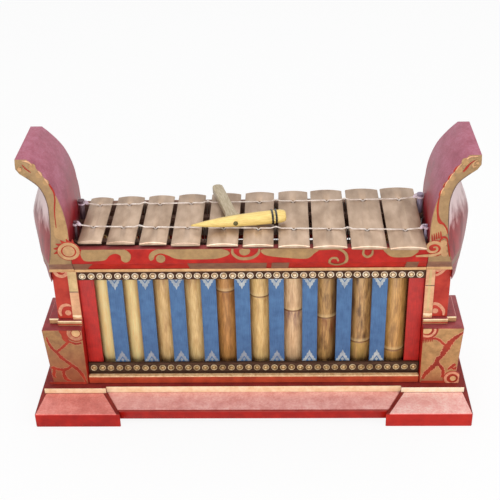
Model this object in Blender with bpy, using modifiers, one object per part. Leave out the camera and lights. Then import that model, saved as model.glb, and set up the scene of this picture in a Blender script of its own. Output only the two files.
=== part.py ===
"""Gamelan metallophone (gangsa): ten bronze keys hung on cords over tuned bamboo tubes, in a painted case.

Metres, +Z up. The origin is on the floor, under the middle of the base, and +X runs along the keys
towards the largest one. -Y is the side that the audience sees.
"""
import math

import bmesh
import bpy
from mathutils import Matrix, Vector

COLLECTION_NAME = "gamelan_metallophone"
CUTTER_COLLECTION_NAME = "gamelan_metallophone_cutters"

# Fit between neighbouring pieces, and the finest merge of doubled points
FIT = 0.0003
MERGE = 0.00001
ROUND_STEPS = 20
CUT_EXTRA = 0.004

# Base: two feet, a raised board between them and a plinth over all three
BASE_LENGTH = 0.540
FOOT_DEPTH = 0.172
FOOT_HEIGHT = 0.0205
FOOT_TOE_INSET = 0.1065
FOOT_HEEL_INSET = 0.0840
BOARD_DEPTH = 0.1574
BOARD_UNDERSIDE = 0.0070
BOARD_TOP_DROP = 0.0018
PLINTH_END_MARGIN = 0.0113
PLINTH_THICKNESS = 0.0075
PLINTH_END_DEPTH = 0.0900
PLINTH_MIDDLE_SETBACK = 0.0034
EDGE_BEVEL = 0.0010

# Case ends: a tapered block, a thin collar and a post at each end
CORE_LENGTH = 0.4178
BLOCK_HEIGHT = 0.0847
BLOCK_DEPTH = 0.0732
BLOCK_TOP_WIDTH = 0.0500
BLOCK_FOOT_WIDTH = 0.0446
COLLAR_THICKNESS = 0.0075
COLLAR_WIDTH = 0.0308
COLLAR_DEPTH = 0.0580
COLLAR_EAR_WIDTH = 0.0110
COLLAR_EAR_DEPTH = 0.0480
POST_HEIGHT = 0.0840
POST_WIDTH = 0.0302
POST_DEPTH = 0.0472
PILASTER_WIDTH = 0.0113
PILASTER_RELIEF = 0.0025

# Panels between the posts: sills, studded rails, slats and a back board
SILL_HEIGHT = 0.0114
SILL_FRONT = 0.0355
SILL_BACK = 0.0172
SLAT_WIDTH = 0.0186
SLAT_THICKNESS = 0.0040
SLAT_FACE = 0.0223
RAIL_THICKNESS = 0.0040
LOWER_RAIL_HEIGHT = 0.0137
UPPER_RAIL_HEIGHT = 0.0120
UPPER_RAIL_DROP = 0.0257
STUD_RADIUS = 0.0043
STUD_DOME = 0.0024
STUD_STEPS = 8
UPPER_STUDS = 39
LOWER_STUDS = 38
STUD_END_INSET = 0.0066

# Tray above the panels: two moulded beams between two horns
TRAY_INNER_LENGTH = 0.4100
TRAY_DEPTH = 0.1170
BEAM_HEIGHT = 0.0368
BEAM_WALL = 0.0090
BEAM_FILLET = 0.0038
BEAM_CHAMFER_DEPTH = 0.0100
BEAM_CHAMFER_TOP = 0.0173
BEAM_FLOOR = 0.0063
BEAM_FLOOR_REACH = 0.0240
HORN_HEIGHT = 0.1450
HORN_TIP_DEPTH = 0.0880
HORN_TIP_REACH = 0.0520
HORN_TIP_WIDTH = 0.0135
HORN_ARC_START = 0.3750
HORN_SPLAY = 0.0060
HORN_SPLAY_FADE = (0.50, 0.82)
HORN_CREASE_SHARE = 0.62
HORN_LEVELS = 26
HORN_TAIL_DROP = 0.0275
HORN_TAIL_DEPTH = 0.0560
HORN_TAIL_REACH = 0.0435
HORN_TAIL_CREASE_SHARE = 0.68
# Share of the horn's height, and how far its outer face stands out from the inner end of the tray
HORN_OUTER = ((0.0, 0.0305), (0.12, 0.0270), (0.30, 0.0220), (0.46, 0.0208), (0.62, 0.0206), (0.70, 0.0226),
              (0.76, 0.0264), (0.81, 0.0325), (0.847, 0.0405), (0.885, 0.0485), (0.91, 0.0520), (1.0, 0.0520))
# The same for the ridge of the bulge on the outer face
HORN_RIDGE = ((0.0, 0.0485), (0.12, 0.0505), (0.30, 0.0520), (0.39, 0.0515), (0.49, 0.0475), (0.60, 0.0415),
              (0.72, 0.0350), (0.786, 0.0320), (0.81, 0.0325))

# Keys: flat below and arched above, hung over the tray
KEY_WIDTHS = (0.0274, 0.0325, 0.0317, 0.0331, 0.0359, 0.0352, 0.0358, 0.0386, 0.0400, 0.0415)
KEY_GAPS = (0.0059, 0.0054, 0.0052, 0.0076, 0.0053, 0.0053, 0.0036, 0.0045, 0.0029)
FIRST_KEY_EDGE = -0.1965
SHORTEST_KEY = 0.1050
LONGEST_KEY = 0.1430
KEY_CLEARANCE = 0.0038
KEY_EDGE = 0.0022
KEY_CROWN = 0.0042
KEY_ARC_STEPS = 8
KEY_HOLE_RADIUS = 0.0030

# Cords: each runs through one hole of every key, over four wire hooks, between two pegs
CORD_RADIUS = 0.0008
FRONT_CORD_ENDS_Y = (-0.0205, -0.0348)
REAR_CORD_ENDS_Y = (0.0309, 0.0402)
CORD_END_X = 0.2050
CORD_DIP = 0.0027
CORD_DIP_HALF_WIDTH = 0.0024
CORD_HOOK_RISE = 0.0024
CORD_HOOK_RUN = 0.0060
HOOKED_GAPS = (1, 3, 5, 7)
CORD_RAIL_WIDTH = 0.0080
CORD_RAIL_HEIGHT = 0.0070
CORD_RAIL_DROP = 0.0131
HOOK_WIRE_RADIUS = 0.0005
HOOK_BEND_RADIUS = 0.0012
HOOK_BEND_STEP = 30
HOOK_SEAT = 0.0020
FRONT_PEG_RADIUS = 0.0018
REAR_PEG_RADIUS = 0.0035
PEG_CAP_OVERHANG = 0.0006
PEG_NECK_DEPTH = 0.0006
PEG_RISE = 0.0044
CORD_END_RISE = 0.0024

# Resonators: bamboo tubes, each closed by a node at its tuned height
FIRST_TUBE_X = -0.1830
TUBE_PITCHES = (0.0360, 0.0380, 0.0378, 0.0395, 0.0420, 0.0409, 0.0406, 0.0427, 0.0425)
THINNEST_TUBE_RADIUS = 0.0115
THICKEST_TUBE_RADIUS = 0.0150
TUBE_WALL = 0.0025
TUBE_TOP_DROP = 0.0238
TUBE_NODE_HEIGHTS = (0.2050, 0.1990, 0.1930, 0.1870, 0.1532, 0.1457, 0.1248, 0.1140, 0.0771, 0.0644)
TUBE_NODE_THICKNESS = 0.0030
TUBE_RING_RELIEF = 0.0007
TUBE_RING_HALF_HEIGHT = 0.0018
SHELF_THICKNESS = 0.0060
SHELF_DEPTH = 0.0360
SHELF_END_WIDTH = 0.0060
SHELF_DROP = 0.0097

# Mallet: a tapered head lying on the keys, its handle behind it, with heights over the keys' crown
MALLET_TIP = (-0.0664, -0.0341, 0.0085)
MALLET_BUTT = (0.0424, -0.0144, 0.0097)
MALLET_STATIONS = ((0.0, 0.0009), (0.05, 0.0018), (0.15, 0.0036), (0.30, 0.0056), (0.50, 0.0071),
                   (0.70, 0.0079), (0.88, 0.0081), (0.95, 0.0078), (0.985, 0.0069), (1.0, 0.0056))
MALLET_SIDES = 16
BINDING_STATIONS = (0.855, 0.895)
BINDING_WIDTH = 0.0022
BINDING_THICKNESS = 0.0008
BINDING_SEAT = 0.0002
HANDLE_STATION = 0.455
HANDLE_END = (-0.0420, 0.0620, 0.0075)
HANDLE_WIDTH = 0.0130
HANDLE_FLARE = 0.0180
HANDLE_FLARE_LENGTH = 0.0140
HANDLE_THICKNESS = 0.0084
HANDLE_BEVEL = 0.0016
PEG_RADIUS = 0.0026
PEG_PROUD = 0.0005
PEG_DEPTH_IN_HANDLE = 0.0120

# Heights and places worked out from the sizes above
PLINTH_BOTTOM = FOOT_HEIGHT + FIT
PLINTH_TOP = PLINTH_BOTTOM + PLINTH_THICKNESS
BLOCK_BOTTOM = PLINTH_TOP + FIT
BLOCK_TOP = BLOCK_BOTTOM + BLOCK_HEIGHT
COLLAR_BOTTOM = BLOCK_TOP + FIT
COLLAR_TOP = COLLAR_BOTTOM + COLLAR_THICKNESS
POST_BOTTOM = COLLAR_TOP + FIT
POST_TOP = POST_BOTTOM + POST_HEIGHT
TRAY_BOTTOM = POST_TOP + FIT
BEAM_TOP = TRAY_BOTTOM + BEAM_HEIGHT
HORN_TOP = TRAY_BOTTOM + HORN_HEIGHT
CORE_HALF = CORE_LENGTH / 2
PLINTH_LENGTH = CORE_LENGTH + 2 * (BLOCK_FOOT_WIDTH + PLINTH_END_MARGIN)
PLINTH_MIDDLE_DEPTH = PLINTH_END_DEPTH - 2 * PLINTH_MIDDLE_SETBACK
SILL_TOP = BLOCK_BOTTOM + SILL_HEIGHT
RAIL_BOTTOM = SILL_TOP + FIT
UPPER_RAIL_TOP = TRAY_BOTTOM - FIT - UPPER_RAIL_DROP + UPPER_RAIL_HEIGHT
KEY_UNDERSIDE = BEAM_TOP + KEY_CLEARANCE
KEY_TOP = KEY_UNDERSIDE + KEY_CROWN
CORD_Z = KEY_TOP + FIT + CORD_RADIUS
CORD_RAIL_TOP = KEY_UNDERSIDE - CORD_RAIL_DROP
TUBE_TOP = KEY_UNDERSIDE - TUBE_TOP_DROP
SHELF_TOP = TRAY_BOTTOM - SHELF_DROP + SHELF_THICKNESS


def clear_scene():
    """Remove every object that the file opened with."""
    for obj in list(bpy.data.objects):
        bpy.data.objects.remove(obj, do_unlink=True)


def make_collection(name):
    """Return a new collection linked to the scene."""
    collection = bpy.data.collections.new(name)
    bpy.context.scene.collection.children.link(collection)
    return collection


def make_material(name, red, green, blue, roughness, metallic=0.0):
    """Return a Principled material of one colour."""
    material = bpy.data.materials.new(name)
    material.use_nodes = True
    shader = material.node_tree.nodes["Principled BSDF"]
    shader.inputs["Base Color"].default_value = (red, green, blue, 1.0)
    shader.inputs["Roughness"].default_value = roughness
    shader.inputs["Metallic"].default_value = metallic
    return material


def link(obj, material, collection):
    """Put an object in its collection with its material."""
    collection.objects.link(obj)
    obj.data.materials.append(material)
    return obj


def add_box(name, low, high, material, collection, bevel=EDGE_BEVEL):
    """Add a box between two corners, with slightly eased edges."""
    bm = bmesh.new()
    bmesh.ops.create_cube(bm, size=1.0)
    size = Vector(high) - Vector(low)
    bmesh.ops.scale(bm, vec=size, verts=bm.verts)
    mesh = bpy.data.meshes.new(name)
    bm.to_mesh(mesh)
    bm.free()
    obj = link(bpy.data.objects.new(name, mesh), material, collection)
    obj.location = (Vector(low) + Vector(high)) / 2
    if bevel:
        add_bevel(obj, bevel)
    return obj


def add_bevel(obj, width, segments=1):
    """Ease the sharp edges of an object."""
    modifier = obj.modifiers.new("eased_edges", "BEVEL")
    modifier.width = width
    modifier.segments = segments
    modifier.limit_method = "ANGLE"
    return modifier


def add_outline(name, points, thickness, material, collection):
    """Add a flat outline in the XY plane, drawn anticlockwise, as thick as asked about its plane."""
    curve = bpy.data.curves.new(name, "CURVE")
    curve.dimensions = "2D"
    curve.fill_mode = "BOTH"
    curve.extrude = thickness / 2
    spline = curve.splines.new("POLY")
    spline.points.add(len(points) - 1)
    for point, (x, y) in zip(spline.points, points):
        point.co = (x, y, 0.0, 1.0)
    spline.use_cyclic_u = True
    return link(bpy.data.objects.new(name, curve), material, collection)


def as_mesh(curve_object):
    """Replace a curve object by a mesh object of the same shape and place."""
    bpy.context.view_layer.update()
    graph = bpy.context.evaluated_depsgraph_get()
    mesh = bpy.data.meshes.new_from_object(curve_object.evaluated_get(graph))
    bm = bmesh.new()
    bm.from_mesh(mesh)
    bmesh.ops.remove_doubles(bm, verts=bm.verts, dist=MERGE)
    bmesh.ops.recalc_face_normals(bm, faces=bm.faces)
    bm.to_mesh(mesh)
    bm.free()
    name = curve_object.name
    place = curve_object.matrix_world.copy()
    collection = curve_object.users_collection[0]
    bpy.data.objects.remove(curve_object, do_unlink=True)
    obj = bpy.data.objects.new(name, mesh)
    obj.matrix_world = place
    collection.objects.link(obj)
    return obj


def add_boolean(obj, other, operation):
    """Cut or join an object with a hidden helper."""
    other.hide_render = True
    other.display_type = "WIRE"
    modifier = obj.modifiers.new(operation.lower(), "BOOLEAN")
    modifier.operation = operation
    modifier.solver = "EXACT"
    modifier.object = other
    return modifier


def add_cylinder(name, centre, axis, radius, length, material, collection, sides=ROUND_STEPS):
    """Add a closed cylinder about a centre, along an axis."""
    bm = bmesh.new()
    bmesh.ops.create_cone(bm, cap_ends=True, segments=sides, radius1=radius, radius2=radius, depth=length)
    mesh = bpy.data.meshes.new(name)
    bm.to_mesh(mesh)
    bm.free()
    obj = link(bpy.data.objects.new(name, mesh), material, collection)
    turn = Vector(axis).to_track_quat("Z", "Y").to_matrix().to_4x4()
    obj.matrix_world = Matrix.Translation(centre) @ turn
    return obj


def add_turned(name, profile, place, material, collection, steps=ROUND_STEPS):
    """Add a shape turned about Z from (radius, height) points, run down its outer side."""
    bm = bmesh.new()
    points = [bm.verts.new((radius, 0.0, height)) for radius, height in profile]
    for above, below in zip(points, points[1:]):
        bm.edges.new((above, below))
    mesh = bpy.data.meshes.new(name)
    bm.to_mesh(mesh)
    bm.free()
    obj = link(bpy.data.objects.new(name, mesh), material, collection)
    obj.location = place
    screw = obj.modifiers.new("turned", "SCREW")
    screw.steps = steps
    screw.render_steps = steps
    screw.use_merge_vertices = True
    screw.merge_threshold = MERGE
    return obj


def add_wire(name, points, radius, material, collection):
    """Add a round wire or cord through a list of points."""
    curve = bpy.data.curves.new(name, "CURVE")
    curve.dimensions = "3D"
    curve.bevel_depth = radius
    curve.bevel_resolution = 2
    curve.use_fill_caps = True
    spline = curve.splines.new("POLY")
    spline.points.add(len(points) - 1)
    for point, place in zip(spline.points, points):
        point.co = (*place, 1.0)
    return link(bpy.data.objects.new(name, curve), material, collection)


def add_loft(name, sections, material, collection):
    """Skin a row of closed sections with equal numbers of points, and close both ends."""
    bm = bmesh.new()
    rows = [[bm.verts.new(point) for point in section] for section in sections]
    for lower, upper in zip(rows, rows[1:]):
        for i in range(len(lower)):
            j = (i + 1) % len(lower)
            bm.faces.new((lower[i], lower[j], upper[j], upper[i]))
    bm.faces.new(rows[0])
    bm.faces.new(rows[-1])
    bmesh.ops.remove_doubles(bm, verts=bm.verts, dist=MERGE)
    bmesh.ops.recalc_face_normals(bm, faces=bm.faces)
    mesh = bpy.data.meshes.new(name)
    bm.to_mesh(mesh)
    bm.free()
    return link(bpy.data.objects.new(name, mesh), material, collection)


def smooth_value(knots, at):
    """Read a smooth curve through (place, value) knots."""
    if at <= knots[0][0]:
        return knots[0][1]
    for i in range(len(knots) - 1):
        left, right = knots[i], knots[i + 1]
        if at <= right[0]:
            before = knots[max(i - 1, 0)]
            after = knots[min(i + 2, len(knots) - 1)]
            span = right[0] - left[0]
            slope_in = (right[1] - before[1]) / (right[0] - before[0])
            slope_out = (after[1] - left[1]) / (after[0] - left[0])
            t = (at - left[0]) / span
            return ((2 * t**3 - 3 * t**2 + 1) * left[1] + (t**3 - 2 * t**2 + t) * span * slope_in
                    + (3 * t**2 - 2 * t**3) * right[1] + (t**3 - t**2) * span * slope_out)
    return knots[-1][1]


def tray_end_x(y, height=TRAY_BOTTOM):
    """Distance from the middle to a horn's inner face at a depth y: it stands wider at the back."""
    full, none = HORN_SPLAY_FADE
    share = (height - TRAY_BOTTOM) / HORN_HEIGHT
    splay = HORN_SPLAY * min(1.0, max(0.0, (none - share) / (none - full)))
    return TRAY_INNER_LENGTH / 2 + splay * (y + TRAY_DEPTH / 2) / TRAY_DEPTH


def key_places():
    """Centre x and width of each key, from the smallest."""
    edge = FIRST_KEY_EDGE
    places = []
    for width, gap in zip(KEY_WIDTHS, (*KEY_GAPS, 0.0)):
        places.append((edge + width / 2, width))
        edge += width + gap
    return places


def hooked_gap_places():
    """Centre x of each gap between keys where a hook carries the cords."""
    places = key_places()
    gaps = []
    for i in HOOKED_GAPS:
        (left_x, left_width), (right_x, right_width) = places[i], places[i + 1]
        gaps.append((left_x + left_width / 2 + right_x - right_width / 2) / 2)
    return gaps


def cord_y(ends, x):
    """Depth of a cord's straight line at x."""
    share = (x + CORD_END_X) / (2 * CORD_END_X)
    return ends[0] + (ends[1] - ends[0]) * share


def tube_places():
    """Centre x and radius of each resonator, from the thinnest."""
    x = FIRST_TUBE_X
    growth = (THICKEST_TUBE_RADIUS - THINNEST_TUBE_RADIUS) / len(TUBE_PITCHES)
    places = []
    for i, pitch in enumerate((*TUBE_PITCHES, 0.0)):
        places.append((x, THINNEST_TUBE_RADIUS + growth * i))
        x += pitch
    return places


def build_base(paint, collection):
    """Feet, the board between them and the plinth over them."""
    toe_x = BASE_LENGTH / 2 - FOOT_TOE_INSET
    heel_x = BASE_LENGTH / 2 - FOOT_HEEL_INSET
    heel_y = PLINTH_MIDDLE_DEPTH / 2 + FIT
    toe_y = FOOT_DEPTH / 2
    end = BASE_LENGTH / 2
    foot = [(end, -toe_y), (end, toe_y), (toe_x, toe_y), (heel_x, heel_y), (heel_x, -heel_y), (toe_x, -toe_y)]
    for side, name in ((-1, "left_foot"), (1, "right_foot")):
        outline = foot if side > 0 else [(-x, y) for x, y in reversed(foot)]
        obj = as_mesh(add_outline(name, outline, FOOT_HEIGHT, paint, collection))
        obj.location.z = FOOT_HEIGHT / 2
        add_bevel(obj, EDGE_BEVEL)

    slope = (heel_x - toe_x) / (toe_y - heel_y)
    board_y = BOARD_DEPTH / 2
    board_toe = toe_x + slope * (toe_y - board_y) - 2 * FIT
    board_heel = heel_x - 2 * FIT
    right = [(board_toe, -board_y), (board_heel, -heel_y), (board_heel, heel_y), (board_toe, board_y)]
    outline = right + [(-x, -y) for x, y in right]
    top = FOOT_HEIGHT - BOARD_TOP_DROP
    obj = as_mesh(add_outline("base_board", outline, top - BOARD_UNDERSIDE, paint, collection))
    obj.location.z = (top + BOARD_UNDERSIDE) / 2
    add_bevel(obj, EDGE_BEVEL)


def build_plinth(paint, collection, cutters):
    """Plinth: deeper over the feet, and stepped down between them to the board."""
    end = PLINTH_LENGTH / 2
    step = BASE_LENGTH / 2 - FOOT_HEEL_INSET + FIT
    deep = PLINTH_END_DEPTH / 2
    shallow = PLINTH_MIDDLE_DEPTH / 2
    right = [(step, -shallow), (step, -deep), (end, -deep), (end, deep), (step, deep), (step, shallow)]
    outline = right + [(-x, -y) for x, y in right]
    obj = as_mesh(add_outline("plinth", outline, PLINTH_THICKNESS, paint, collection))
    obj.location.z = PLINTH_BOTTOM + PLINTH_THICKNESS / 2
    inner = step - 2 * FIT
    step_bottom = FOOT_HEIGHT - BOARD_TOP_DROP + FIT
    low = (-inner, -shallow, step_bottom)
    high = (inner, shallow, PLINTH_BOTTOM + PLINTH_THICKNESS / 2)
    add_boolean(obj, add_box("plinth_step", low, high, paint, cutters, bevel=0), "UNION")


def build_end(side, paint, collection, cutters):
    """Block, collar and post at one end."""
    name = "right" if side > 0 else "left"

    def mirrored(points):
        return points if side > 0 else [(-x, y) for x, y in reversed(points)]

    inner = CORE_HALF + FIT
    top_x, foot_x = inner + BLOCK_TOP_WIDTH, inner + BLOCK_FOOT_WIDTH
    profile = [(inner, BLOCK_BOTTOM), (foot_x, BLOCK_BOTTOM), (top_x, BLOCK_TOP), (inner, BLOCK_TOP)]
    block = as_mesh(add_outline(f"{name}_block", mirrored(profile), BLOCK_DEPTH, paint, collection))
    block.rotation_euler.x = math.radians(90)
    add_bevel(block, EDGE_BEVEL)

    ear_x = inner + COLLAR_WIDTH
    end_x = ear_x + COLLAR_EAR_WIDTH
    deep, shallow = COLLAR_DEPTH / 2, COLLAR_EAR_DEPTH / 2
    outline = [(inner, -deep), (ear_x, -deep), (ear_x, -shallow), (end_x, -shallow),
               (end_x, shallow), (ear_x, shallow), (ear_x, deep), (inner, deep)]
    collar = as_mesh(add_outline(f"{name}_collar", mirrored(outline), COLLAR_THICKNESS, paint, collection))
    collar.location.z = (COLLAR_BOTTOM + COLLAR_TOP) / 2
    add_bevel(collar, EDGE_BEVEL)

    outer = inner + POST_WIDTH
    low = (min(side * inner, side * outer), -POST_DEPTH / 2, POST_BOTTOM)
    high = (max(side * inner, side * outer), POST_DEPTH / 2, POST_TOP)
    post = add_box(f"{name}_post", low, high, paint, collection, bevel=0)
    bar_outer = inner + PILASTER_WIDTH
    bar_low = (min(side * inner, side * bar_outer), -POST_DEPTH / 2 - PILASTER_RELIEF, POST_BOTTOM)
    bar_high = (max(side * inner, side * bar_outer), POST_DEPTH / 2 + PILASTER_RELIEF, POST_TOP)
    bar = add_box(f"{name}_pilaster", bar_low, bar_high, paint, cutters, bevel=0)
    add_boolean(post, bar, "UNION")


def build_sills(paint, collection):
    """Front and back sills, standing on the plinth."""
    end = CORE_HALF - FIT
    add_box("front_sill", (-end, -SILL_FRONT, BLOCK_BOTTOM), (end, -SILL_BACK, SILL_TOP), paint, collection)
    add_box("back_sill", (-end, SILL_BACK, BLOCK_BOTTOM), (end, SILL_FRONT, SILL_TOP), paint, collection)


def build_studded_rail(name, bottom, height, count, wood, collection, cutters):
    """A rail over the front of the slats, with a row of domed nails driven into it."""
    end = CORE_HALF - FIT
    back = SLAT_FACE + FIT
    face = back + RAIL_THICKNESS
    rail = add_box(name, (-end, -face, bottom), (end, -back, bottom + height), wood, collection, bevel=0)
    bm = bmesh.new()
    first = -end + STUD_END_INSET
    pitch = 2 * -first / (count - 1)
    sunk = RAIL_THICKNESS / 2
    for i in range(count):
        turn = Matrix.Rotation(math.radians(90), 4, "X")
        rim = Matrix.Translation((first + i * pitch, -face, bottom + height / 2)) @ turn
        shank = rim @ Matrix.Translation((0, 0, (STUD_DOME * 0.4 - sunk) / 2))
        bmesh.ops.create_cone(bm, cap_ends=True, segments=STUD_STEPS, radius1=STUD_RADIUS,
                              radius2=STUD_RADIUS, depth=STUD_DOME * 0.4 + sunk, matrix=shank)
    mesh = bpy.data.meshes.new(f"{name}_studs")
    bm.to_mesh(mesh)
    bm.free()
    studs = link(bpy.data.objects.new(f"{name}_studs", mesh), wood, cutters)
    add_boolean(rail, studs, "UNION")


def build_front(wood, blue, red, collection, cutters):
    """Rails and slats of the front panel."""
    rails = (("front_lower_rail", RAIL_BOTTOM, LOWER_RAIL_HEIGHT, LOWER_STUDS),
             ("front_upper_rail", UPPER_RAIL_TOP - UPPER_RAIL_HEIGHT, UPPER_RAIL_HEIGHT, UPPER_STUDS))
    for name, bottom, height, count in rails:
        build_studded_rail(name, bottom, height, count, wood, collection, cutters)
    tubes = [x for x, radius in tube_places()]
    edge = CORE_HALF - FIT - SLAT_WIDTH / 2
    centres = [-edge, *[(a + b) / 2 for a, b in zip(tubes, tubes[1:])], edge]
    for number, x in enumerate(centres, start=1):
        low = (x - SLAT_WIDTH / 2, -SLAT_FACE, RAIL_BOTTOM)
        high = (x + SLAT_WIDTH / 2, -SLAT_FACE + SLAT_THICKNESS, POST_TOP - FIT)
        paint = red if number in (1, len(centres)) else blue
        add_box(f"slat_{number}", low, high, paint, collection, bevel=0)


def build_back_panel(paint, collection):
    """Plain board closing the back of the case."""
    end = CORE_HALF - FIT
    low = (-end, SLAT_FACE - SLAT_THICKNESS, RAIL_BOTTOM)
    add_box("back_panel", low, (end, SLAT_FACE, POST_TOP - FIT), paint, collection, bevel=0)


def build_beam(side, paint, collection):
    """Moulded beam along one side of the tray, its ends cut to meet the horns."""
    name = "back_beam" if side > 0 else "front_beam"
    face = TRAY_DEPTH / 2
    inner_wall = face - BEAM_WALL
    foot = face - BEAM_CHAMFER_DEPTH
    fillet_top = TRAY_BOTTOM + BEAM_FILLET
    floor_top = TRAY_BOTTOM + BEAM_FLOOR
    profile = [(-BEAM_FLOOR_REACH, TRAY_BOTTOM), (-BEAM_FLOOR_REACH, floor_top), (-inner_wall, floor_top),
               (-inner_wall, BEAM_TOP), (-face, BEAM_TOP), (-face, TRAY_BOTTOM + BEAM_CHAMFER_TOP),
               (-foot + BEAM_FILLET / 4, fillet_top), (-foot - BEAM_FILLET / 4, fillet_top),
               (-foot - BEAM_FILLET / 4, TRAY_BOTTOM)]
    outline = [(y * -side, z) for y, z in profile]
    beam = as_mesh(add_outline(name, outline, TRAY_INNER_LENGTH, paint, collection))
    for vertex in beam.data.vertices:
        y, z, x = vertex.co
        end = math.copysign(tray_end_x(y) - FIT, x)
        vertex.co = (end, y, z)
    return beam


def horn_section(height):
    """Closed section of the right horn at one height, anticlockwise seen from above."""
    share = (height - TRAY_BOTTOM) / HORN_HEIGHT
    start = TRAY_INNER_LENGTH / 2
    arc_start = TRAY_BOTTOM + HORN_ARC_START * HORN_HEIGHT
    rise = HORN_TOP - arc_start
    inward = HORN_TIP_REACH - HORN_TIP_WIDTH
    radius = (inward**2 + rise**2) / (2 * inward)
    bend = radius - math.sqrt(radius**2 - max(0.0, height - arc_start) ** 2)
    chamfer_top = TRAY_BOTTOM + BEAM_CHAMFER_TOP
    fillet_top = TRAY_BOTTOM + BEAM_FILLET
    if height < chamfer_top:
        climb = max(0.0, height - fillet_top) / (chamfer_top - fillet_top)
        half = TRAY_DEPTH / 2 - BEAM_CHAMFER_DEPTH * (1 - climb)
    else:
        taper = max(0.0, (height - BEAM_TOP) / (HORN_TOP - BEAM_TOP))
        half = TRAY_DEPTH / 2 - (TRAY_DEPTH - HORN_TIP_DEPTH) / 2 * taper
    outer = start + smooth_value(HORN_OUTER, share)
    ridge = max(outer, start + smooth_value(HORN_RIDGE, share))
    crease = outer + (ridge - outer) * HORN_CREASE_SHARE
    return [(tray_end_x(-half, height) + bend, -half, height), (outer, -half, height),
            (crease, -half / 2, height), (ridge, 0.0, height), (crease, half / 2, height),
            (outer, half, height), (tray_end_x(half, height) + bend, half, height)]


def build_horn(side, paint, collection, cutters):
    """Curved horn with a creased bulge on its outer face, and a short tail down the post."""
    name = "right_horn" if side > 0 else "left_horn"
    steps = [TRAY_BOTTOM + HORN_HEIGHT * i / HORN_LEVELS for i in range(HORN_LEVELS + 1)]
    moulding = (TRAY_BOTTOM + BEAM_FILLET, TRAY_BOTTOM + BEAM_CHAMFER_TOP)
    heights = sorted(steps + [height for height in moulding if min(abs(height - s) for s in steps) > FIT])
    sections = [[(side * x, y, z) for x, y, z in horn_section(height)] for height in heights]
    horn = add_loft(name, sections, paint, collection)

    inner = CORE_HALF + POST_WIDTH + 2 * FIT
    reach = TRAY_INNER_LENGTH / 2 + HORN_TAIL_REACH
    top_reach = TRAY_INNER_LENGTH / 2 + HORN_RIDGE[0][1]
    half = HORN_TAIL_DEPTH / 2
    bottom = TRAY_BOTTOM - HORN_TAIL_DROP
    top = TRAY_BOTTOM + BEAM_FILLET
    tail = []
    for x, z in ((reach, bottom), (top_reach - FIT, TRAY_BOTTOM), (top_reach - 3 * FIT, top)):
        crease = inner + (x - inner) * HORN_TAIL_CREASE_SHARE
        outline = [(inner, -half), (crease, -half / 2), (x, 0.0), (crease, half / 2), (inner, half)]
        tail.append([(side * along, y, z) for along, y in outline])
    add_boolean(horn, add_loft(f"{name}_tail", tail, paint, cutters), "UNION")


def build_shelf(wood, collection, cutters):
    """Open frame that the row of tubes stands in, with a rail before it and one behind."""
    end = CORE_HALF - FIT
    half = SHELF_DEPTH / 2
    bottom = SHELF_TOP - SHELF_THICKNESS
    shelf = add_box("resonator_shelf", (-end, -half, bottom), (end, half, SHELF_TOP), wood, collection, bevel=0)
    inner_end = end - SHELF_END_WIDTH
    inner_half = THICKEST_TUBE_RADIUS + FIT
    room = add_box("shelf_room", (-inner_end, -inner_half, bottom - CUT_EXTRA),
                   (inner_end, inner_half, SHELF_TOP + CUT_EXTRA), wood, cutters, bevel=0)
    add_boolean(shelf, room, "DIFFERENCE")


def build_tubes(bamboo, collection):
    """Bamboo tubes, each closed inside at its node, with the node's ring outside."""
    bottom = PLINTH_TOP + FIT
    for number, ((x, radius), node) in enumerate(zip(tube_places(), TUBE_NODE_HEIGHTS), start=1):
        bore = radius - TUBE_WALL
        ring = radius + TUBE_RING_RELIEF
        under = node - TUBE_NODE_THICKNESS
        reach = TUBE_RING_HALF_HEIGHT + FIT
        outside = [(radius, TUBE_TOP)]
        if not SHELF_TOP - SHELF_THICKNESS - reach < node < SHELF_TOP + reach:
            outside += [(radius, node + TUBE_RING_HALF_HEIGHT), (ring, node),
                        (radius, node - TUBE_RING_HALF_HEIGHT)]
        profile = [(0.0, node), (bore, node), (bore, TUBE_TOP), *outside,
                   (radius, bottom), (bore, bottom), (bore, under), (0.0, under)]
        add_turned(f"tube_{number}", profile, (x, 0.0, 0.0), bamboo, collection)


def build_keys(bronze, collection, cutters):
    """Bronze keys, arched across their width and drilled for both cords."""
    places = key_places()
    for number, (x, width) in enumerate(places, start=1):
        share = (number - 1) / (len(places) - 1)
        length = SHORTEST_KEY + (LONGEST_KEY - SHORTEST_KEY) * share
        rise = KEY_CROWN - KEY_EDGE
        radius = (width**2 / 4 + rise**2) / (2 * rise)
        half_angle = math.asin(width / 2 / radius)
        outline = [(-width / 2, 0.0), (width / 2, 0.0)]
        for i in range(KEY_ARC_STEPS + 1):
            angle = half_angle - 2 * half_angle * i / KEY_ARC_STEPS
            outline.append((radius * math.sin(angle), KEY_CROWN - radius * (1 - math.cos(angle))))
        key = as_mesh(add_outline(f"key_{number}", outline, length, bronze, collection))
        key.rotation_euler.x = math.radians(90)
        key.location = (x, 0.0, KEY_UNDERSIDE)
        for cord, ends in (("front", FRONT_CORD_ENDS_Y), ("rear", REAR_CORD_ENDS_Y)):
            centre = (x, cord_y(ends, x), KEY_UNDERSIDE + KEY_CROWN / 2)
            hole = add_cylinder(f"key_{number}_{cord}_hole", centre, (0, 0, 1), KEY_HOLE_RADIUS,
                                KEY_CROWN + CUT_EXTRA, bronze, cutters, sides=16)
            add_boolean(key, hole, "DIFFERENCE")


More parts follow.
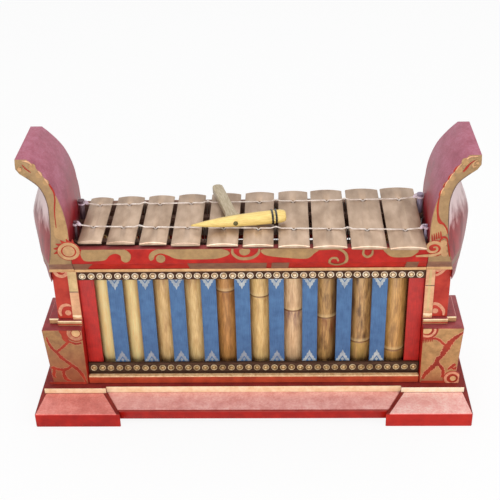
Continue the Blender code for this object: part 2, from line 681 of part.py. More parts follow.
def add_peg(name, x, y, radius, material, cutters):
    """Turned peg that stands in a cord rail, with a neck where the cord is tied."""
    foot = CORD_RAIL_TOP - HOOK_SEAT
    tie = CORD_Z + CORD_END_RISE
    top = tie + PEG_RISE
    neck = radius - PEG_NECK_DEPTH
    cap = radius + (PEG_CAP_OVERHANG if radius > FRONT_PEG_RADIUS else 0.0)
    profile = [(0.0, top), (cap, top), (cap, tie + CORD_RADIUS + FIT), (neck, tie + CORD_RADIUS),
               (neck, tie - CORD_RADIUS), (radius, tie - CORD_RADIUS - FIT), (radius, foot), (0.0, foot)]
    return add_turned(name, profile, (x, y, 0.0), material, cutters, steps=12)


def build_cord_rail(name, ends, peg_radius, wood, collection, cutters):
    """Bar across the tray under one cord, with its wire hooks and its two pegs."""
    half = CORD_RAIL_WIDTH / 2
    corners = []
    for side, offset in ((-1, -half), (1, -half), (1, half), (-1, half)):
        y = cord_y(ends, side * CORD_END_X) + offset
        corners.append((side * (tray_end_x(y) - FIT), y))
    rail = as_mesh(add_outline(name, corners, CORD_RAIL_HEIGHT, wood, collection))
    rail.location.z = CORD_RAIL_TOP - CORD_RAIL_HEIGHT / 2

    foot = CORD_RAIL_TOP - HOOK_SEAT
    bend = CORD_Z + CORD_HOOK_RISE - CORD_RADIUS - FIT - HOOK_WIRE_RADIUS - HOOK_BEND_RADIUS
    for number, x in enumerate(hooked_gap_places(), start=1):
        y = cord_y(ends, x)
        points = [(x - HOOK_BEND_RADIUS, y, foot)]
        for turn in range(180, -1, -HOOK_BEND_STEP):
            across = HOOK_BEND_RADIUS * math.cos(math.radians(turn))
            rise = HOOK_BEND_RADIUS * math.sin(math.radians(turn))
            points.append((x + across, y, bend + rise))
        points.append((x + HOOK_BEND_RADIUS, y, foot))
        hook = as_mesh(add_wire(f"{name}_hook_{number}", points, HOOK_WIRE_RADIUS, wood, cutters))
        add_boolean(rail, hook, "UNION")
    for side, word in ((-1, "left"), (1, "right")):
        y = cord_y(ends, side * CORD_END_X)
        x = side * (tray_end_x(y - peg_radius) - peg_radius - PEG_CAP_OVERHANG - FIT)
        add_boolean(rail, add_peg(f"{name}_{word}_peg", x, y, peg_radius, wood, cutters), "UNION")


def build_cord(name, ends, peg_radius, fibre, collection):
    """Cord from peg to peg: level over the keys, dipped at each hole and lifted at each hook."""
    start_y = cord_y(ends, -CORD_END_X)
    finish_y = cord_y(ends, CORD_END_X)
    margin = peg_radius * 2 + PEG_CAP_OVERHANG * 2 + 2 * FIT
    stations = [(-tray_end_x(start_y - peg_radius) + margin, CORD_Z + CORD_END_RISE)]
    for x, width in key_places():
        stations += [(x - CORD_DIP_HALF_WIDTH, CORD_Z), (x, CORD_Z - CORD_DIP),
                     (x + CORD_DIP_HALF_WIDTH, CORD_Z)]
    for x in hooked_gap_places():
        stations += [(x - CORD_HOOK_RUN, CORD_Z), (x, CORD_Z + CORD_HOOK_RISE), (x + CORD_HOOK_RUN, CORD_Z)]
    stations.append((tray_end_x(finish_y - peg_radius) - margin, CORD_Z + CORD_END_RISE))
    points = [(x, cord_y(ends, x), z) for x, z in sorted(stations)]
    add_wire(name, points, CORD_RADIUS, fibre, collection)


def mallet_radius(share):
    """Radius of the mallet's head at a share of its length from the tip."""
    return smooth_value(MALLET_STATIONS, share)


def ring_of_points(centre, across, up, radius, sides=MALLET_SIDES):
    """Points round a circle in the plane of two directions."""
    angles = [2 * math.pi * i / sides for i in range(sides)]
    return [centre + radius * (math.cos(a) * across + math.sin(a) * up) for a in angles]


def over_keys(place):
    """Turn a place whose height is over the keys' crown into a point."""
    x, y, rise = place
    return Vector((x, y, KEY_TOP + rise))


def build_mallet(head_wood, handle_wood, dark, collection, cutters):
    """Mallet head, its two bindings, its handle and the peg that joins them."""
    tip = over_keys(MALLET_TIP)
    axis = (over_keys(MALLET_BUTT) - tip).normalized()
    length = (over_keys(MALLET_BUTT) - tip).length
    across = axis.cross(Vector((0, 0, 1))).normalized()
    up = across.cross(axis)
    shares = [share for share, radius in MALLET_STATIONS]
    sections = [ring_of_points(tip + axis * length * s, across, up, mallet_radius(s)) for s in shares]
    head = add_loft("mallet_head", sections, head_wood, collection)

    for number, share in enumerate(BINDING_STATIONS, start=1):
        half_share = BINDING_WIDTH / 2 / length
        inner = mallet_radius(share) + BINDING_SEAT
        outer = inner + BINDING_THICKNESS
        place = tip + axis * length * share
        shell = [(inner, half_share), (outer, half_share), (outer, -half_share), (inner, -half_share)]
        profile = [(radius, offset * length) for radius, offset in [*shell, shell[0]]]
        ring = add_turned(f"mallet_binding_{number}", profile, place, dark, collection, steps=MALLET_SIDES)
        ring.rotation_mode = "QUATERNION"
        ring.rotation_quaternion = axis.to_track_quat("Z", "Y")

    joint = tip + axis * length * HANDLE_STATION
    along = (over_keys(HANDLE_END) - joint).normalized()
    reach = (over_keys(HANDLE_END) - joint).length
    start = mallet_radius(HANDLE_STATION) + 2 * FIT
    round_radius = HANDLE_WIDTH / 2
    side_points = [(start, HANDLE_FLARE / 2), (start + HANDLE_FLARE_LENGTH * 0.4, HANDLE_WIDTH * 0.55),
                   (start + HANDLE_FLARE_LENGTH, HANDLE_WIDTH * 0.48), (reach - round_radius, round_radius)]
    end_points = [(reach - round_radius + round_radius * math.sin(math.radians(a)),
                   round_radius * math.cos(math.radians(a))) for a in (30, 60, 90, 120, 150)]
    lower = [(u, -v) for u, v in side_points]
    upper = list(reversed(side_points))
    outline = lower + [(u, -v) for u, v in end_points] + upper
    handle = as_mesh(add_outline("mallet_handle", outline, HANDLE_THICKNESS, handle_wood, collection))
    sideways = Vector((0, 0, 1)).cross(along).normalized()
    lift = along.cross(sideways)
    turn = Matrix((along, sideways, lift)).transposed().to_4x4()
    handle.matrix_world = Matrix.Translation(joint) @ turn
    add_bevel(handle, HANDLE_BEVEL, segments=2)

    front = -mallet_radius(HANDLE_STATION) - PEG_PROUD
    back = start + PEG_DEPTH_IN_HANDLE
    centre = joint + along * (front + back) / 2
    add_cylinder("mallet_peg", centre, along, PEG_RADIUS, back - front, dark, collection, sides=16)
    bore_centre = centre + along * FIT
    bore = add_cylinder("peg_bore", bore_centre, along, PEG_RADIUS + FIT, back - front + CUT_EXTRA / 2,
                        dark, cutters, sides=16)
    add_boolean(head, bore, "DIFFERENCE")
    handle_bore = add_cylinder("handle_bore", joint + along * back / 2, along, PEG_RADIUS + FIT,
                               back + 2 * FIT, dark, cutters, sides=16)
    add_boolean(handle, handle_bore, "DIFFERENCE")


def main():
    """Build the whole instrument."""
    clear_scene()
    collection = make_collection(COLLECTION_NAME)
    cutters = make_collection(CUTTER_COLLECTION_NAME)
    red = make_material("red_gold_painted_wood", 0.50, 0.03, 0.03, 0.40)
    slat_red = make_material("red_painted_slat", 0.55, 0.03, 0.02, 0.45)
    blue = make_material("blue_painted_slat", 0.09, 0.19, 0.42, 0.50)
    brown = make_material("dark_stained_wood", 0.10, 0.05, 0.03, 0.60)
    bamboo = make_material("bamboo", 0.62, 0.42, 0.20, 0.50)
    bronze = make_material("cast_bronze", 0.48, 0.36, 0.25, 0.45, 0.9)
    fibre = make_material("cotton_cord", 0.80, 0.72, 0.68, 0.90)
    head_wood = make_material("yellow_lacquered_wood", 0.85, 0.62, 0.22, 0.35)
    handle_wood = make_material("grey_brown_wood", 0.40, 0.33, 0.24, 0.60)
    dark = make_material("black_binding", 0.02, 0.02, 0.02, 0.30)

    build_base(red, collection)
    build_plinth(red, collection, cutters)
    for side in (-1, 1):
        build_end(side, red, collection, cutters)
    build_sills(red, collection)
    build_front(brown, blue, slat_red, collection, cutters)
    build_back_panel(red, collection)
    for side in (-1, 1):
        build_beam(side, red, collection)
        build_horn(side, red, collection, cutters)
    build_shelf(brown, collection, cutters)
    build_tubes(bamboo, collection)
    build_keys(bronze, collection, cutters)
    build_cord_rail("front_cord_rail", FRONT_CORD_ENDS_Y, FRONT_PEG_RADIUS, brown, collection, cutters)
    build_cord_rail("rear_cord_rail", REAR_CORD_ENDS_Y, REAR_PEG_RADIUS, brown, collection, cutters)
    build_cord("front_cord", FRONT_CORD_ENDS_Y, FRONT_PEG_RADIUS, fibre, collection)
    build_cord("rear_cord", REAR_CORD_ENDS_Y, REAR_PEG_RADIUS, fibre, collection)
    build_mallet(head_wood, handle_wood, dark, collection, cutters)


main()
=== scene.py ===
"""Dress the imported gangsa: painted case, gilt carving, bamboo resonators, bronze keys, cords and mallet.

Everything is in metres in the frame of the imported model: +Z up, +X along the keys towards the largest
one, and -Y towards the audience. Ornament is written in millimetres, in the plane of the face it lies on.
"""
import logging
import math
import random
from contextlib import contextmanager
from dataclasses import dataclass
from enum import Enum
from typing import Any, Callable, Dict, Iterator, List, Optional, Sequence, Tuple, Union

import bpy
from mathutils import Matrix, Vector


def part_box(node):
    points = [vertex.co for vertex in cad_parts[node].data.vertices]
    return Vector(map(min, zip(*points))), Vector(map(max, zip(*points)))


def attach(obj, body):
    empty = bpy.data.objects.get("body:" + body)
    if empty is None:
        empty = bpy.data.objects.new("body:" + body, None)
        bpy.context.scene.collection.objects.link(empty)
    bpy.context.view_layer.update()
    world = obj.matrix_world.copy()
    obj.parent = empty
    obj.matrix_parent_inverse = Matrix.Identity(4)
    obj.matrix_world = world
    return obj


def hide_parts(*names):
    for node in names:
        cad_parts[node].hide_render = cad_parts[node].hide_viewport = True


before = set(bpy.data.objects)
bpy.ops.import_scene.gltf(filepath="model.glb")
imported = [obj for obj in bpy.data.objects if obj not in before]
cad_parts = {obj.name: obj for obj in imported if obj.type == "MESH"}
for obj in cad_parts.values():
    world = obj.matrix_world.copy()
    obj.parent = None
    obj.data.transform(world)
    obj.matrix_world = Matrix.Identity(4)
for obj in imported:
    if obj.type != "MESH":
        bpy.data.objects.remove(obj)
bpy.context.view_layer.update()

MM = 0.001
SEED = 11
HALF_LENGTH = 0.27
GRAIN_STRETCH = 14.0
TRAY_HALF = 205.0
HORN_SPLAY = 6.0
LAYER_MM = 0.012
SINK_MM = 0.05
MERGE = 0.00001
FLAT_DEGREES = 0.6
UP = (0.0, 0.0, 1.0)
LOG = logging.getLogger("gangsa")
Point = Tuple[float, float]
Place = Tuple[float, float, float]
Socket = bpy.types.NodeSocket
Rule = Callable[[Vector, Vector], bool]
Coat = Tuple["Finish", Rule]


class Slot(Enum):
    """The material slots of the record."""

    PAINTED_WOOD = "painted_wood"
    RED_SLAT = "red_slat"
    BLUE_SLAT = "blue_slat"
    DARK_WOOD = "dark_wood"
    BAMBOO = "bamboo"
    BRONZE = "bronze"
    CORD = "cord"
    HEAD_WOOD = "head_wood"
    HANDLE_WOOD = "handle_wood"
    BINDING = "binding"


class Grain(Enum):
    """Direction in which a wood's grain or a metal's file marks run, as the stretch of its noise."""

    ALONG_X = (1.0, GRAIN_STRETCH, GRAIN_STRETCH)
    ALONG_Y = (GRAIN_STRETCH, 1.0, GRAIN_STRETCH)
    ALONG_Z = (GRAIN_STRETCH, GRAIN_STRETCH, 1.0)


# Materials


def linear(code: str) -> Tuple[float, float, float, float]:
    """Turn an sRGB hex colour to linear light.

    Args:
        code: Six hex digits.

    Returns:
        Red, green, blue and alpha.
    """
    channels = [int(code[i:i + 2], 16) / 255 for i in (0, 2, 4)]
    values = [c / 12.92 if c <= 0.04045 else ((c + 0.055) / 1.055) ** 2.4 for c in channels]
    return values[0], values[1], values[2], 1.0


class Nodes:
    """The nodes of one material or world, with a short way to add each kind that several finishes use."""

    def __init__(self, tree: bpy.types.NodeTree) -> None:
        """Work on this tree."""
        self.tree = tree
        by_kind = {node.bl_idname: node for node in tree.nodes}
        self.shader = by_kind.get("ShaderNodeBsdfPrincipled") or by_kind["ShaderNodeBackground"]
        self.output = by_kind.get("ShaderNodeOutputMaterial") or by_kind["ShaderNodeOutputWorld"]

    def feed(self, node: bpy.types.Node, inputs: Dict[Any, Any]) -> None:
        """Link sockets into a node, or set its own sockets, where a text is a hex colour."""
        for name, value in inputs.items():
            if isinstance(value, Socket):
                self.tree.links.new(value, node.inputs[name])
            else:
                node.inputs[name].default_value = linear(value) if isinstance(value, str) else value

    def add(self, kind: str, inputs: Optional[Dict[Any, Any]] = None, stops: Sequence[Tuple[float, Any]] = (),
            **settings: Any) -> bpy.types.Node:
        """Add one shader node with its settings, sockets and links.

        Args:
            kind: Type name of the node.
            inputs: Socket name or number to a value, or to the output socket that feeds it.
            stops: Place and colour or grey of each stop, for a colour ramp.
            settings: Properties of the node.

        Returns:
            The new node.
        """
        node = self.tree.nodes.new(kind)
        for name, value in settings.items():
            setattr(node, name, value)
        self.feed(node, inputs or {})
        if stops:
            elements = node.color_ramp.elements
            while len(elements) < len(stops):
                elements.new(0.5)
            for element, (place, colour) in zip(elements, stops):
                element.position = place
                element.color = linear(colour) if isinstance(colour, str) else (colour, colour, colour, 1.0)
        return node

    def coordinates(self) -> Socket:
        """Give object coordinates."""
        return self.add("ShaderNodeTexCoord").outputs["Object"]

    def place(self, stretch: Place = (1.0, 1.0, 1.0), turn: Place = (0.0, 0.0, 0.0),
              shift: Place = (0.0, 0.0, 0.0), of: Optional[Socket] = None) -> Socket:
        """Give coordinates, moved, turned and stretched.

        Args:
            stretch: Scale on each axis.
            turn: Turn about each axis, in radians.
            shift: Move on each axis.
            of: Coordinates to change, or else the object's.

        Returns:
            The vector socket.
        """
        return self.add("ShaderNodeMapping", {"Vector": of or self.coordinates(), "Location": shift,
                                              "Rotation": turn, "Scale": stretch}).outputs["Vector"]

    def axes(self, vector: Socket) -> Any:
        """Give the outputs X, Y and Z of a vector."""
        return self.add("ShaderNodeSeparateXYZ", {0: vector}).outputs

    def noise(self, vector: Socket, size_mm: float, detail: float = 2.0, rough: float = 0.5) -> Socket:
        """Give noise from 0 to 1.

        Args:
            vector: Coordinates.
            size_mm: Real size of its largest spots.
            detail: Number of finer layers.
            rough: Strength of the finer layers.

        Returns:
            The factor's socket.
        """
        return self.add("ShaderNodeTexNoise", {"Vector": vector, "Scale": 1 / (size_mm * MM),
                                               "Detail": detail, "Roughness": rough}).outputs["Fac"]

    def ramp(self, factor: Socket, *stops: Tuple[float, Any]) -> Socket:
        """Give a colour by stops of place and colour."""
        return self.add("ShaderNodeValToRGB", {"Fac": factor}, stops).outputs["Color"]

    def span(self, value: Socket, low: float = 0.0, high: float = 1.0, to_low: float = 0.0,
             to_high: float = 1.0) -> Socket:
        """Stretch the range from low to high to another range, and clamp it."""
        return self.add("ShaderNodeMapRange", {"Value": value, "From Min": low, "From Max": high,
                                               "To Min": to_low, "To Max": to_high}).outputs[0]

    def maths(self, operation: str, *values: Union[Socket, float]) -> Socket:
        """Work out a sum of sockets and numbers."""
        return self.add("ShaderNodeMath", dict(enumerate(values)), operation=operation).outputs[0]

    def mix(self, factor: Socket, under: Union[Socket, str], over: Union[Socket, str]) -> Socket:
        """Mix two colours."""
        return self.add("ShaderNodeMix", {"Factor": factor, "A": under, "B": over}, data_type="RGBA"
                        ).outputs["Result"]

    def seen(self) -> Socket:
        """Give 1 for rays that meet the eye, straight or mirrored, and 0 for those that bring light."""
        rays = self.add("ShaderNodeLightPath").outputs
        direct = self.maths("ADD", rays["Is Camera Ray"], rays["Is Glossy Ray"])
        return self.maths("ADD", direct, rays["Is Transmission Ray"])

    def whiten(self, kind: str, under: bpy.types.Node, share: Socket) -> None:
        """Lay plain white over a shader.

        Args:
            kind: Type name of the white shader.
            under: Shader below it.
            share: How much of the white shows.
        """
        white = self.add(kind, {"Color": "FFFFFF", "Strength": 1.0})
        mix = self.add("ShaderNodeMixShader", {0: share, 1: under.outputs[0], 2: white.outputs[0]})
        self.feed(self.output, {"Surface": mix.outputs[0]})

    def surface(self, colour: Union[Socket, str], rough: Union[Socket, float], **numbers: float) -> None:
        """Give the shader its colour, its roughness and its other numbers, such as coat_weight."""
        for name, value in {"base_color": colour, "roughness": rough, **numbers}.items():
            self.feed(self.shader, {name.replace("_", " ").title().replace("Ior", "IOR"): value})

    def bump(self, height: Socket, depth_mm: float, strength: float) -> None:
        """Give the shader a bump.

        Args:
            height: Height from 0 to 1.
            depth_mm: Real height difference.
            strength: Share of it that shows.
        """
        bump = self.add("ShaderNodeBump", {"Height": height, "Distance": depth_mm * MM, "Strength": strength})
        self.feed(self.shader, {"Normal": bump.outputs["Normal"]})


@dataclass(frozen=True)
class Finish:
    """A finish with its material, which is made once."""

    name: str

    def material(self) -> bpy.types.Material:
        """Make the material, or find it if it is made."""
        found = bpy.data.materials.get(self.name)
        if found:
            return found
        material = bpy.data.materials.new(self.name)
        material.use_nodes = True
        self.coat(Nodes(material.node_tree))
        return material

    def coat(self, nodes: Nodes) -> None:
        """Add the nodes of this finish before the shader."""
        raise NotImplementedError


@dataclass(frozen=True)
class RedLacquer(Finish):
    """Brushed red lacquer on hardwood: glossy, with a painted pale sheen where it faces up, which stands in for
    the reflection of the white room; it is broken into patches and grows towards the right, where the light
    falls.
    """

    light: str = "BF261A"
    dark: str = "951510"
    bloom: str = "FFC6B9"
    bloom_share: float = 1.0
    bloom_sides: Point = (0.55, 1.12)
    bloom_slope: Point = (0.35, 0.95)
    shine: float = 0.04
    gloss: float = 0.2
    patch_mm: float = 16.0
    dust_mm: float = 2.2
    brush_mm: float = 0.8

    def coat(self, nodes: Nodes) -> None:
        """Mottle the red, lay the painted sheen over it where it faces up, and break up the gloss."""
        place = nodes.place()
        patches = nodes.noise(place, self.patch_mm, 5.0, 0.62)
        red = nodes.ramp(patches, (0.30, self.dark), (0.68, self.light))
        # Noise that breaks the painted sheen into patches.
        sheen_mottle = nodes.noise(place, self.dust_mm, 4.0, 0.7)
        cover = nodes.span(nodes.maths("MULTIPLY", sheen_mottle, patches), 0.16, 0.36, 0.55)
        normal = nodes.add("ShaderNodeNewGeometry").outputs["Normal"]
        upward = nodes.span(nodes.axes(normal)["Z"], *self.bloom_slope)
        # The painted sheen grows from left to right, as the light falls from the right.
        left, right = (self.bloom_share * share for share in self.bloom_sides)
        side = nodes.span(nodes.axes(place)["X"], -HALF_LENGTH, HALF_LENGTH, left, min(1.0, right))
        share = nodes.maths("MULTIPLY", nodes.maths("MULTIPLY", upward, cover), side)
        nodes.surface(nodes.mix(share, red, self.bloom), nodes.span(patches, to_low=0.24, to_high=0.46),
                      specular_ior_level=self.gloss, coat_weight=self.shine, coat_roughness=0.12)
        brush = nodes.noise(nodes.place(Grain.ALONG_X.value), self.brush_mm * GRAIN_STRETCH, 3.0)
        nodes.bump(brush, 0.12, 0.5)


@dataclass(frozen=True)
class MirrorLacquer(Finish):
    """Thick lacquer on the horns' rounded backs: red in the hollows, with the pale reflection of the room
    painted on where it would mirror it.
    """

    red: str = "98282A"
    deep: str = "6E1818"
    wash: str = "E3CDCB"
    wash_from: float = 0.262
    wash_to: float = 0.286
    wash_share: float = 0.8
    ragged_mm: float = 60.0
    far_y: Point = (-0.006, 0.030)
    far_drop: float = 0.12

    def coat(self, nodes: Nodes) -> None:
        """Paint the pale reflection over the red above a ragged line that sinks towards the far side, and coat
        it thickly.
        """
        axes = nodes.axes(nodes.place())
        streaks = nodes.noise(nodes.place((3.0, 3.0, 1.0)), 26.0, 5.0, 0.6)
        red = nodes.ramp(streaks, (0.34, self.deep), (0.62, self.red))
        # The line above which the reflection is painted sinks towards the far side.
        drop = nodes.span(axes["Y"], *self.far_y, to_high=self.far_drop)
        height = nodes.maths("ADD", axes["Z"], drop)
        ragged = nodes.maths("MULTIPLY_ADD", streaks, self.ragged_mm * MM, height)
        middle = self.ragged_mm * MM / 2
        wash = nodes.span(ragged, self.wash_from + middle, self.wash_to + middle, to_high=self.wash_share)
        nodes.surface(nodes.mix(wash, red, self.wash), 0.4, specular_ior_level=0.25, coat_weight=0.15,
                      coat_roughness=0.15)
        nodes.bump(streaks, 0.2, 0.4)


@dataclass(frozen=True)
class GoldPaint(Finish):
    """Hand-brushed bronze-powder gold paint: soft metallic, streaky, and, where a span is given, turning
    red-brown towards the floor.
    """

    light: str = "AF8A5A"
    dark: str = "917048"
    metal: float = 0.25
    streak_mm: float = 9.0
    low_tint: str = "A0503A"
    low_tint_span: Point = (0.0, 0.001)

    def coat(self, nodes: Nodes) -> None:
        """Streak the gold, turn it red-brown towards the floor where a span is given, and give it a brushed
        bump.
        """
        place = nodes.place()
        streaks = nodes.noise(place, self.streak_mm, 7.0, 0.66)
        gold = nodes.ramp(streaks, (0.30, self.dark), (0.64, self.light))
        low_tint_share = nodes.span(nodes.axes(place)["Z"], *self.low_tint_span, to_low=0.85, to_high=0.0)
        nodes.surface(nodes.mix(low_tint_share, gold, self.low_tint), nodes.span(streaks, to_low=0.36, to_high=0.6),
                      metallic=self.metal)
        nodes.bump(nodes.noise(place, 0.7, 3.0), 0.1, 0.5)


@dataclass(frozen=True)
class FlatPaint(Finish):
    """Thin matt paint on sawn wood: the grain shows through as fine streaks."""

    light: str
    dark: str
    metal: float = 0.0
    grain_mm: float = 0.9

    def coat(self, nodes: Nodes) -> None:
        """Streak the paint along the upright grain."""
        grain = nodes.noise(nodes.place(Grain.ALONG_Z.value), self.grain_mm * GRAIN_STRETCH, 4.0, 0.6)
        patches = nodes.noise(nodes.place(), 9.0, 4.0)
        share = nodes.span(nodes.maths("ADD", grain, patches), 0.72, 1.28)
        nodes.surface(nodes.mix(share, self.dark, self.light), nodes.span(patches, to_low=0.42, to_high=0.62),
                      metallic=self.metal)
        nodes.bump(grain, 0.15, 0.6)


@dataclass(frozen=True)
class BambooCulm(Finish):
    """Dried bamboo with its waxy skin: long fibres, blotches, and a scar and a wax band at the node."""

    light: str
    dark: str
    stain: str
    stain_share: float
    node_z: float
    shift: float
    under: str
    under_share: float
    flank: Place
    scar: str = "7E5330"
    wax: str = "EBCB94"
    band: float = 0.006
    soiled: float = 0.034

    def coat(self, nodes: Nodes) -> None:
        """Lay fibres, stains, a darker flank and the marks of the node, one over the other."""
        coordinates = nodes.coordinates()
        axes = nodes.axes(coordinates)
        along = nodes.place(Grain.ALONG_Z.value, shift=(self.shift, 0.0, self.shift), of=coordinates)
        fibres = nodes.noise(along, 1.1 * GRAIN_STRETCH, 5.0, 0.62)
        drift = nodes.place((5.0, 5.0, 1.0), shift=(self.shift * 3, 0.0, 0.0), of=coordinates)
        blotch = nodes.noise(drift, 30.0, 5.0, 0.58)
        colour = nodes.ramp(fibres, (0.30, self.dark), (0.62, self.light))
        colour = nodes.mix(nodes.span(blotch, 0.46, 0.66, to_high=self.stain_share), colour, self.stain)
        near, far, share = self.flank
        flank = nodes.maths("MULTIPLY", nodes.span(axes["X"], near, far, to_high=share), fibres)
        colour = nodes.mix(flank, colour, self.stain)
        near_node = nodes.span(axes["Z"], self.node_z - self.soiled, self.node_z - self.band)
        below = nodes.maths("MULTIPLY", near_node, nodes.maths("LESS_THAN", axes["Z"], self.node_z))
        soil = nodes.maths("MULTIPLY", below, nodes.span(blotch, 0.36, 0.6, to_high=self.under_share))
        colour = nodes.mix(soil, colour, self.under)
        rise = nodes.span(axes["Z"], self.node_z - self.band, self.node_z + self.band)
        for mark, stops in ((self.scar, ((0.30, 0.0), (0.43, 0.9), (0.49, 0.8), (0.55, 0.0))),
                            (self.wax, ((0.54, 0.0), (0.60, 0.5), (0.78, 0.3), (0.96, 0.0)))):
            colour = nodes.mix(nodes.ramp(rise, *stops), colour, mark)
        nodes.surface(colour, nodes.span(fibres, to_low=0.3, to_high=0.5), coat_weight=0.15,
                      coat_roughness=0.3)
        nodes.bump(fibres, 0.1, 0.5)


@dataclass(frozen=True)
class CastBronze(Finish):
    """Cast bell bronze filed flat across the key: satin, warm grey-brown, with soft clouds of tarnish."""

    light: str = "C2A891"
    dark: str = "AA9079"
    tarnish: str = "947A64"
    file_mm: float = 0.45

    def coat(self, nodes: Nodes) -> None:
        """Cloud the bronze and scratch it along the key."""
        clouds = nodes.noise(nodes.place((2.6, 1.0, 1.0)), 34.0, 5.0)
        marks = nodes.noise(nodes.place(Grain.ALONG_Y.value), self.file_mm * GRAIN_STRETCH, 3.0, 0.7)
        nodes.surface(nodes.ramp(clouds, (0.28, self.tarnish), (0.46, self.dark), (0.70, self.light)),
                      nodes.span(marks, 0.25, 0.75, 0.38, 0.58), metallic=0.55)
        nodes.bump(marks, 0.04, 0.6)


@dataclass(frozen=True)
class SolidWood(Finish):
    """Bare or oiled wood: long grain lines with darker pores."""

    light: str
    dark: str
    turn: Place = (0.0, 0.0, 0.0)
    grain: Grain = Grain.ALONG_X
    grain_mm: float = 0.9
    gloss: Point = (0.38, 0.58)
    shine: float = 0.5

    def coat(self, nodes: Nodes) -> None:
        """Run the grain along the piece."""
        along = nodes.place(self.grain.value, of=nodes.place(turn=self.turn))
        grain = nodes.noise(along, self.grain_mm * GRAIN_STRETCH, 6.0, 0.65)
        smooth_at, rough_at = self.gloss
        nodes.surface(nodes.ramp(grain, (0.32, self.dark), (0.62, self.light)),
                      nodes.span(grain, to_low=rough_at, to_high=smooth_at), specular_ior_level=self.shine)
        nodes.bump(grain, 0.1, 0.5)


@dataclass(frozen=True)
class PlainMetal(Finish):
    """Stamped or drawn metal with a worn sheen: nail heads and hook wire."""

    light: str
    dark: str
    metal: float = 0.85
    gloss: float = 0.3

    def coat(self, nodes: Nodes) -> None:
        """Vary the metal by a few millimetres, as handling does."""
        wear = nodes.noise(nodes.place(), 6.0, 4.0)
        colour = nodes.ramp(wear, (0.35, self.dark), (0.65, self.light))
        nodes.surface(colour, self.gloss, metallic=self.metal)


@dataclass(frozen=True)
class TwistedCotton(Finish):
    """Plied cotton cord: soft, matt, and a little grubby from hands."""

    light: str = "F1E6DC"
    dark: str = "C9B5A6"

    def coat(self, nodes: Nodes) -> None:
        """Soil the cotton and give it a fibre bump."""
        place = nodes.place()
        soil = nodes.noise(place, 7.0, 4.0)
        nodes.surface(nodes.ramp(soil, (0.30, self.dark), (0.60, self.light)), 0.9, sheen_weight=0.2)
        nodes.bump(nodes.noise(place, 0.25), 0.06, 0.6)


RED = RedLacquer("red_lacquer")
# Horn red with a mauve painted sheen, the reflection of the white room, which shows even on its upright inner
# faces.
HORN_RED = RedLacquer("horn_red_lacquer_painted_sheen", "A5292E", "7C1D26", bloom="B87C8E", bloom_share=0.86,
                      bloom_slope=(0.02, 0.34), bloom_sides=(1.0, 1.0), shine=0.0, gloss=0.08)
# Painted reflection of the room on the horns' outer bulges.
BULGE = MirrorLacquer("lacquer_painted_reflection")
# Darker red with a weaker sheen: painted shade on the tops of the blocks and collars.
SHADED_RED = RedLacquer("shaded_red_lacquer", "A32A2A", "741A1D", bloom="A8666A", bloom_share=0.5)
# Dark red with little sheen: painted shade on the feet's tops beside their slanted edges and behind the plinth,
# and on the plinth away from its gilt faces.
PAINTED_SHADE_RED = RedLacquer("bare_red_lacquer", "92281E", "6A1A16", bloom="93504E", bloom_share=0.25,
                      bloom_sides=(1.0, 1.0), shine=0.0, gloss=0.1)
# The tops of the feet and the board take lighter reds than the fronts, painted light where they look up, with a
# painted sheen that is weak on the left foot and pale and strong on the right foot, where the light falls.
BASE_RED = RedLacquer("base_red_lacquer", "B01E14", "8E120D", bloom="FFCDC2", bloom_sides=(0.9, 1.2))
BOARD_RED = RedLacquer("board_top_lacquer", "E4342A", "C4261C", bloom="FFCDC2", bloom_sides=(0.9, 1.2))
LEFT_BASE_RED = RedLacquer("left_foot_lacquer", "DC261C", "B81A12", bloom="FFBFB0",
                           bloom_sides=(0.62, 0.8))
# Darker red with almost no painted sheen, for a band along the board top's front and back edges.
EDGE_RED = RedLacquer("worn_edge_lacquer", "A8241A", "8A1812", bloom_share=0.1)
RIGHT_FRONT_RED = RedLacquer("right_foot_front_lacquer", "BE2418", "A81C14")
RIGHT_BASE_RED = RedLacquer("right_foot_lacquer", "EA3426", "D42A1E", bloom="FFD9CE",
                            bloom_sides=(1.1, 1.1))
# Pinker red for the posts, with the reflection on their faces painted into the colour.
POST_RED = RedLacquer("post_lacquer_painted_reflection", "C0402F", "A02A20")
# Darker red with a mauve sheen for the front beam's top: painted shade of the keys over it, with a painted
# sheen.
BEAM_RED = RedLacquer("beam_top_painted_shade_and_sheen", "A5292E", "7C1D26", bloom="96544E", bloom_share=0.7,
                      bloom_sides=(1.0, 1.0), shine=0.0, gloss=0.08)
GOLD = GoldPaint("gold_paint")
HORN_GOLD = GoldPaint("horn_gold_paint", "A68358", "886945")
LEAF_GOLD = GoldPaint("leaf_gold_paint", "B68E5E", "977247")
CURL_GOLD = GoldPaint("copper_gold_paint", "C79A6C", "A4764C")
BRIGHT_GOLD = GoldPaint("fresh_gold_paint", "DDB07C", "BC8A58")
PALE_GOLD = GoldPaint("pale_gold_paint", "F8E4BE", "E8C290", metal=0.1)
CREAM_GOLD = GoldPaint("cream_gold_paint", "FFF4DC", "F4D9AC", metal=0.0)
SILL_GOLD = GoldPaint("sill_gold_paint", "F4D2A0", "C48A5A", metal=0.05, streak_mm=5.0)
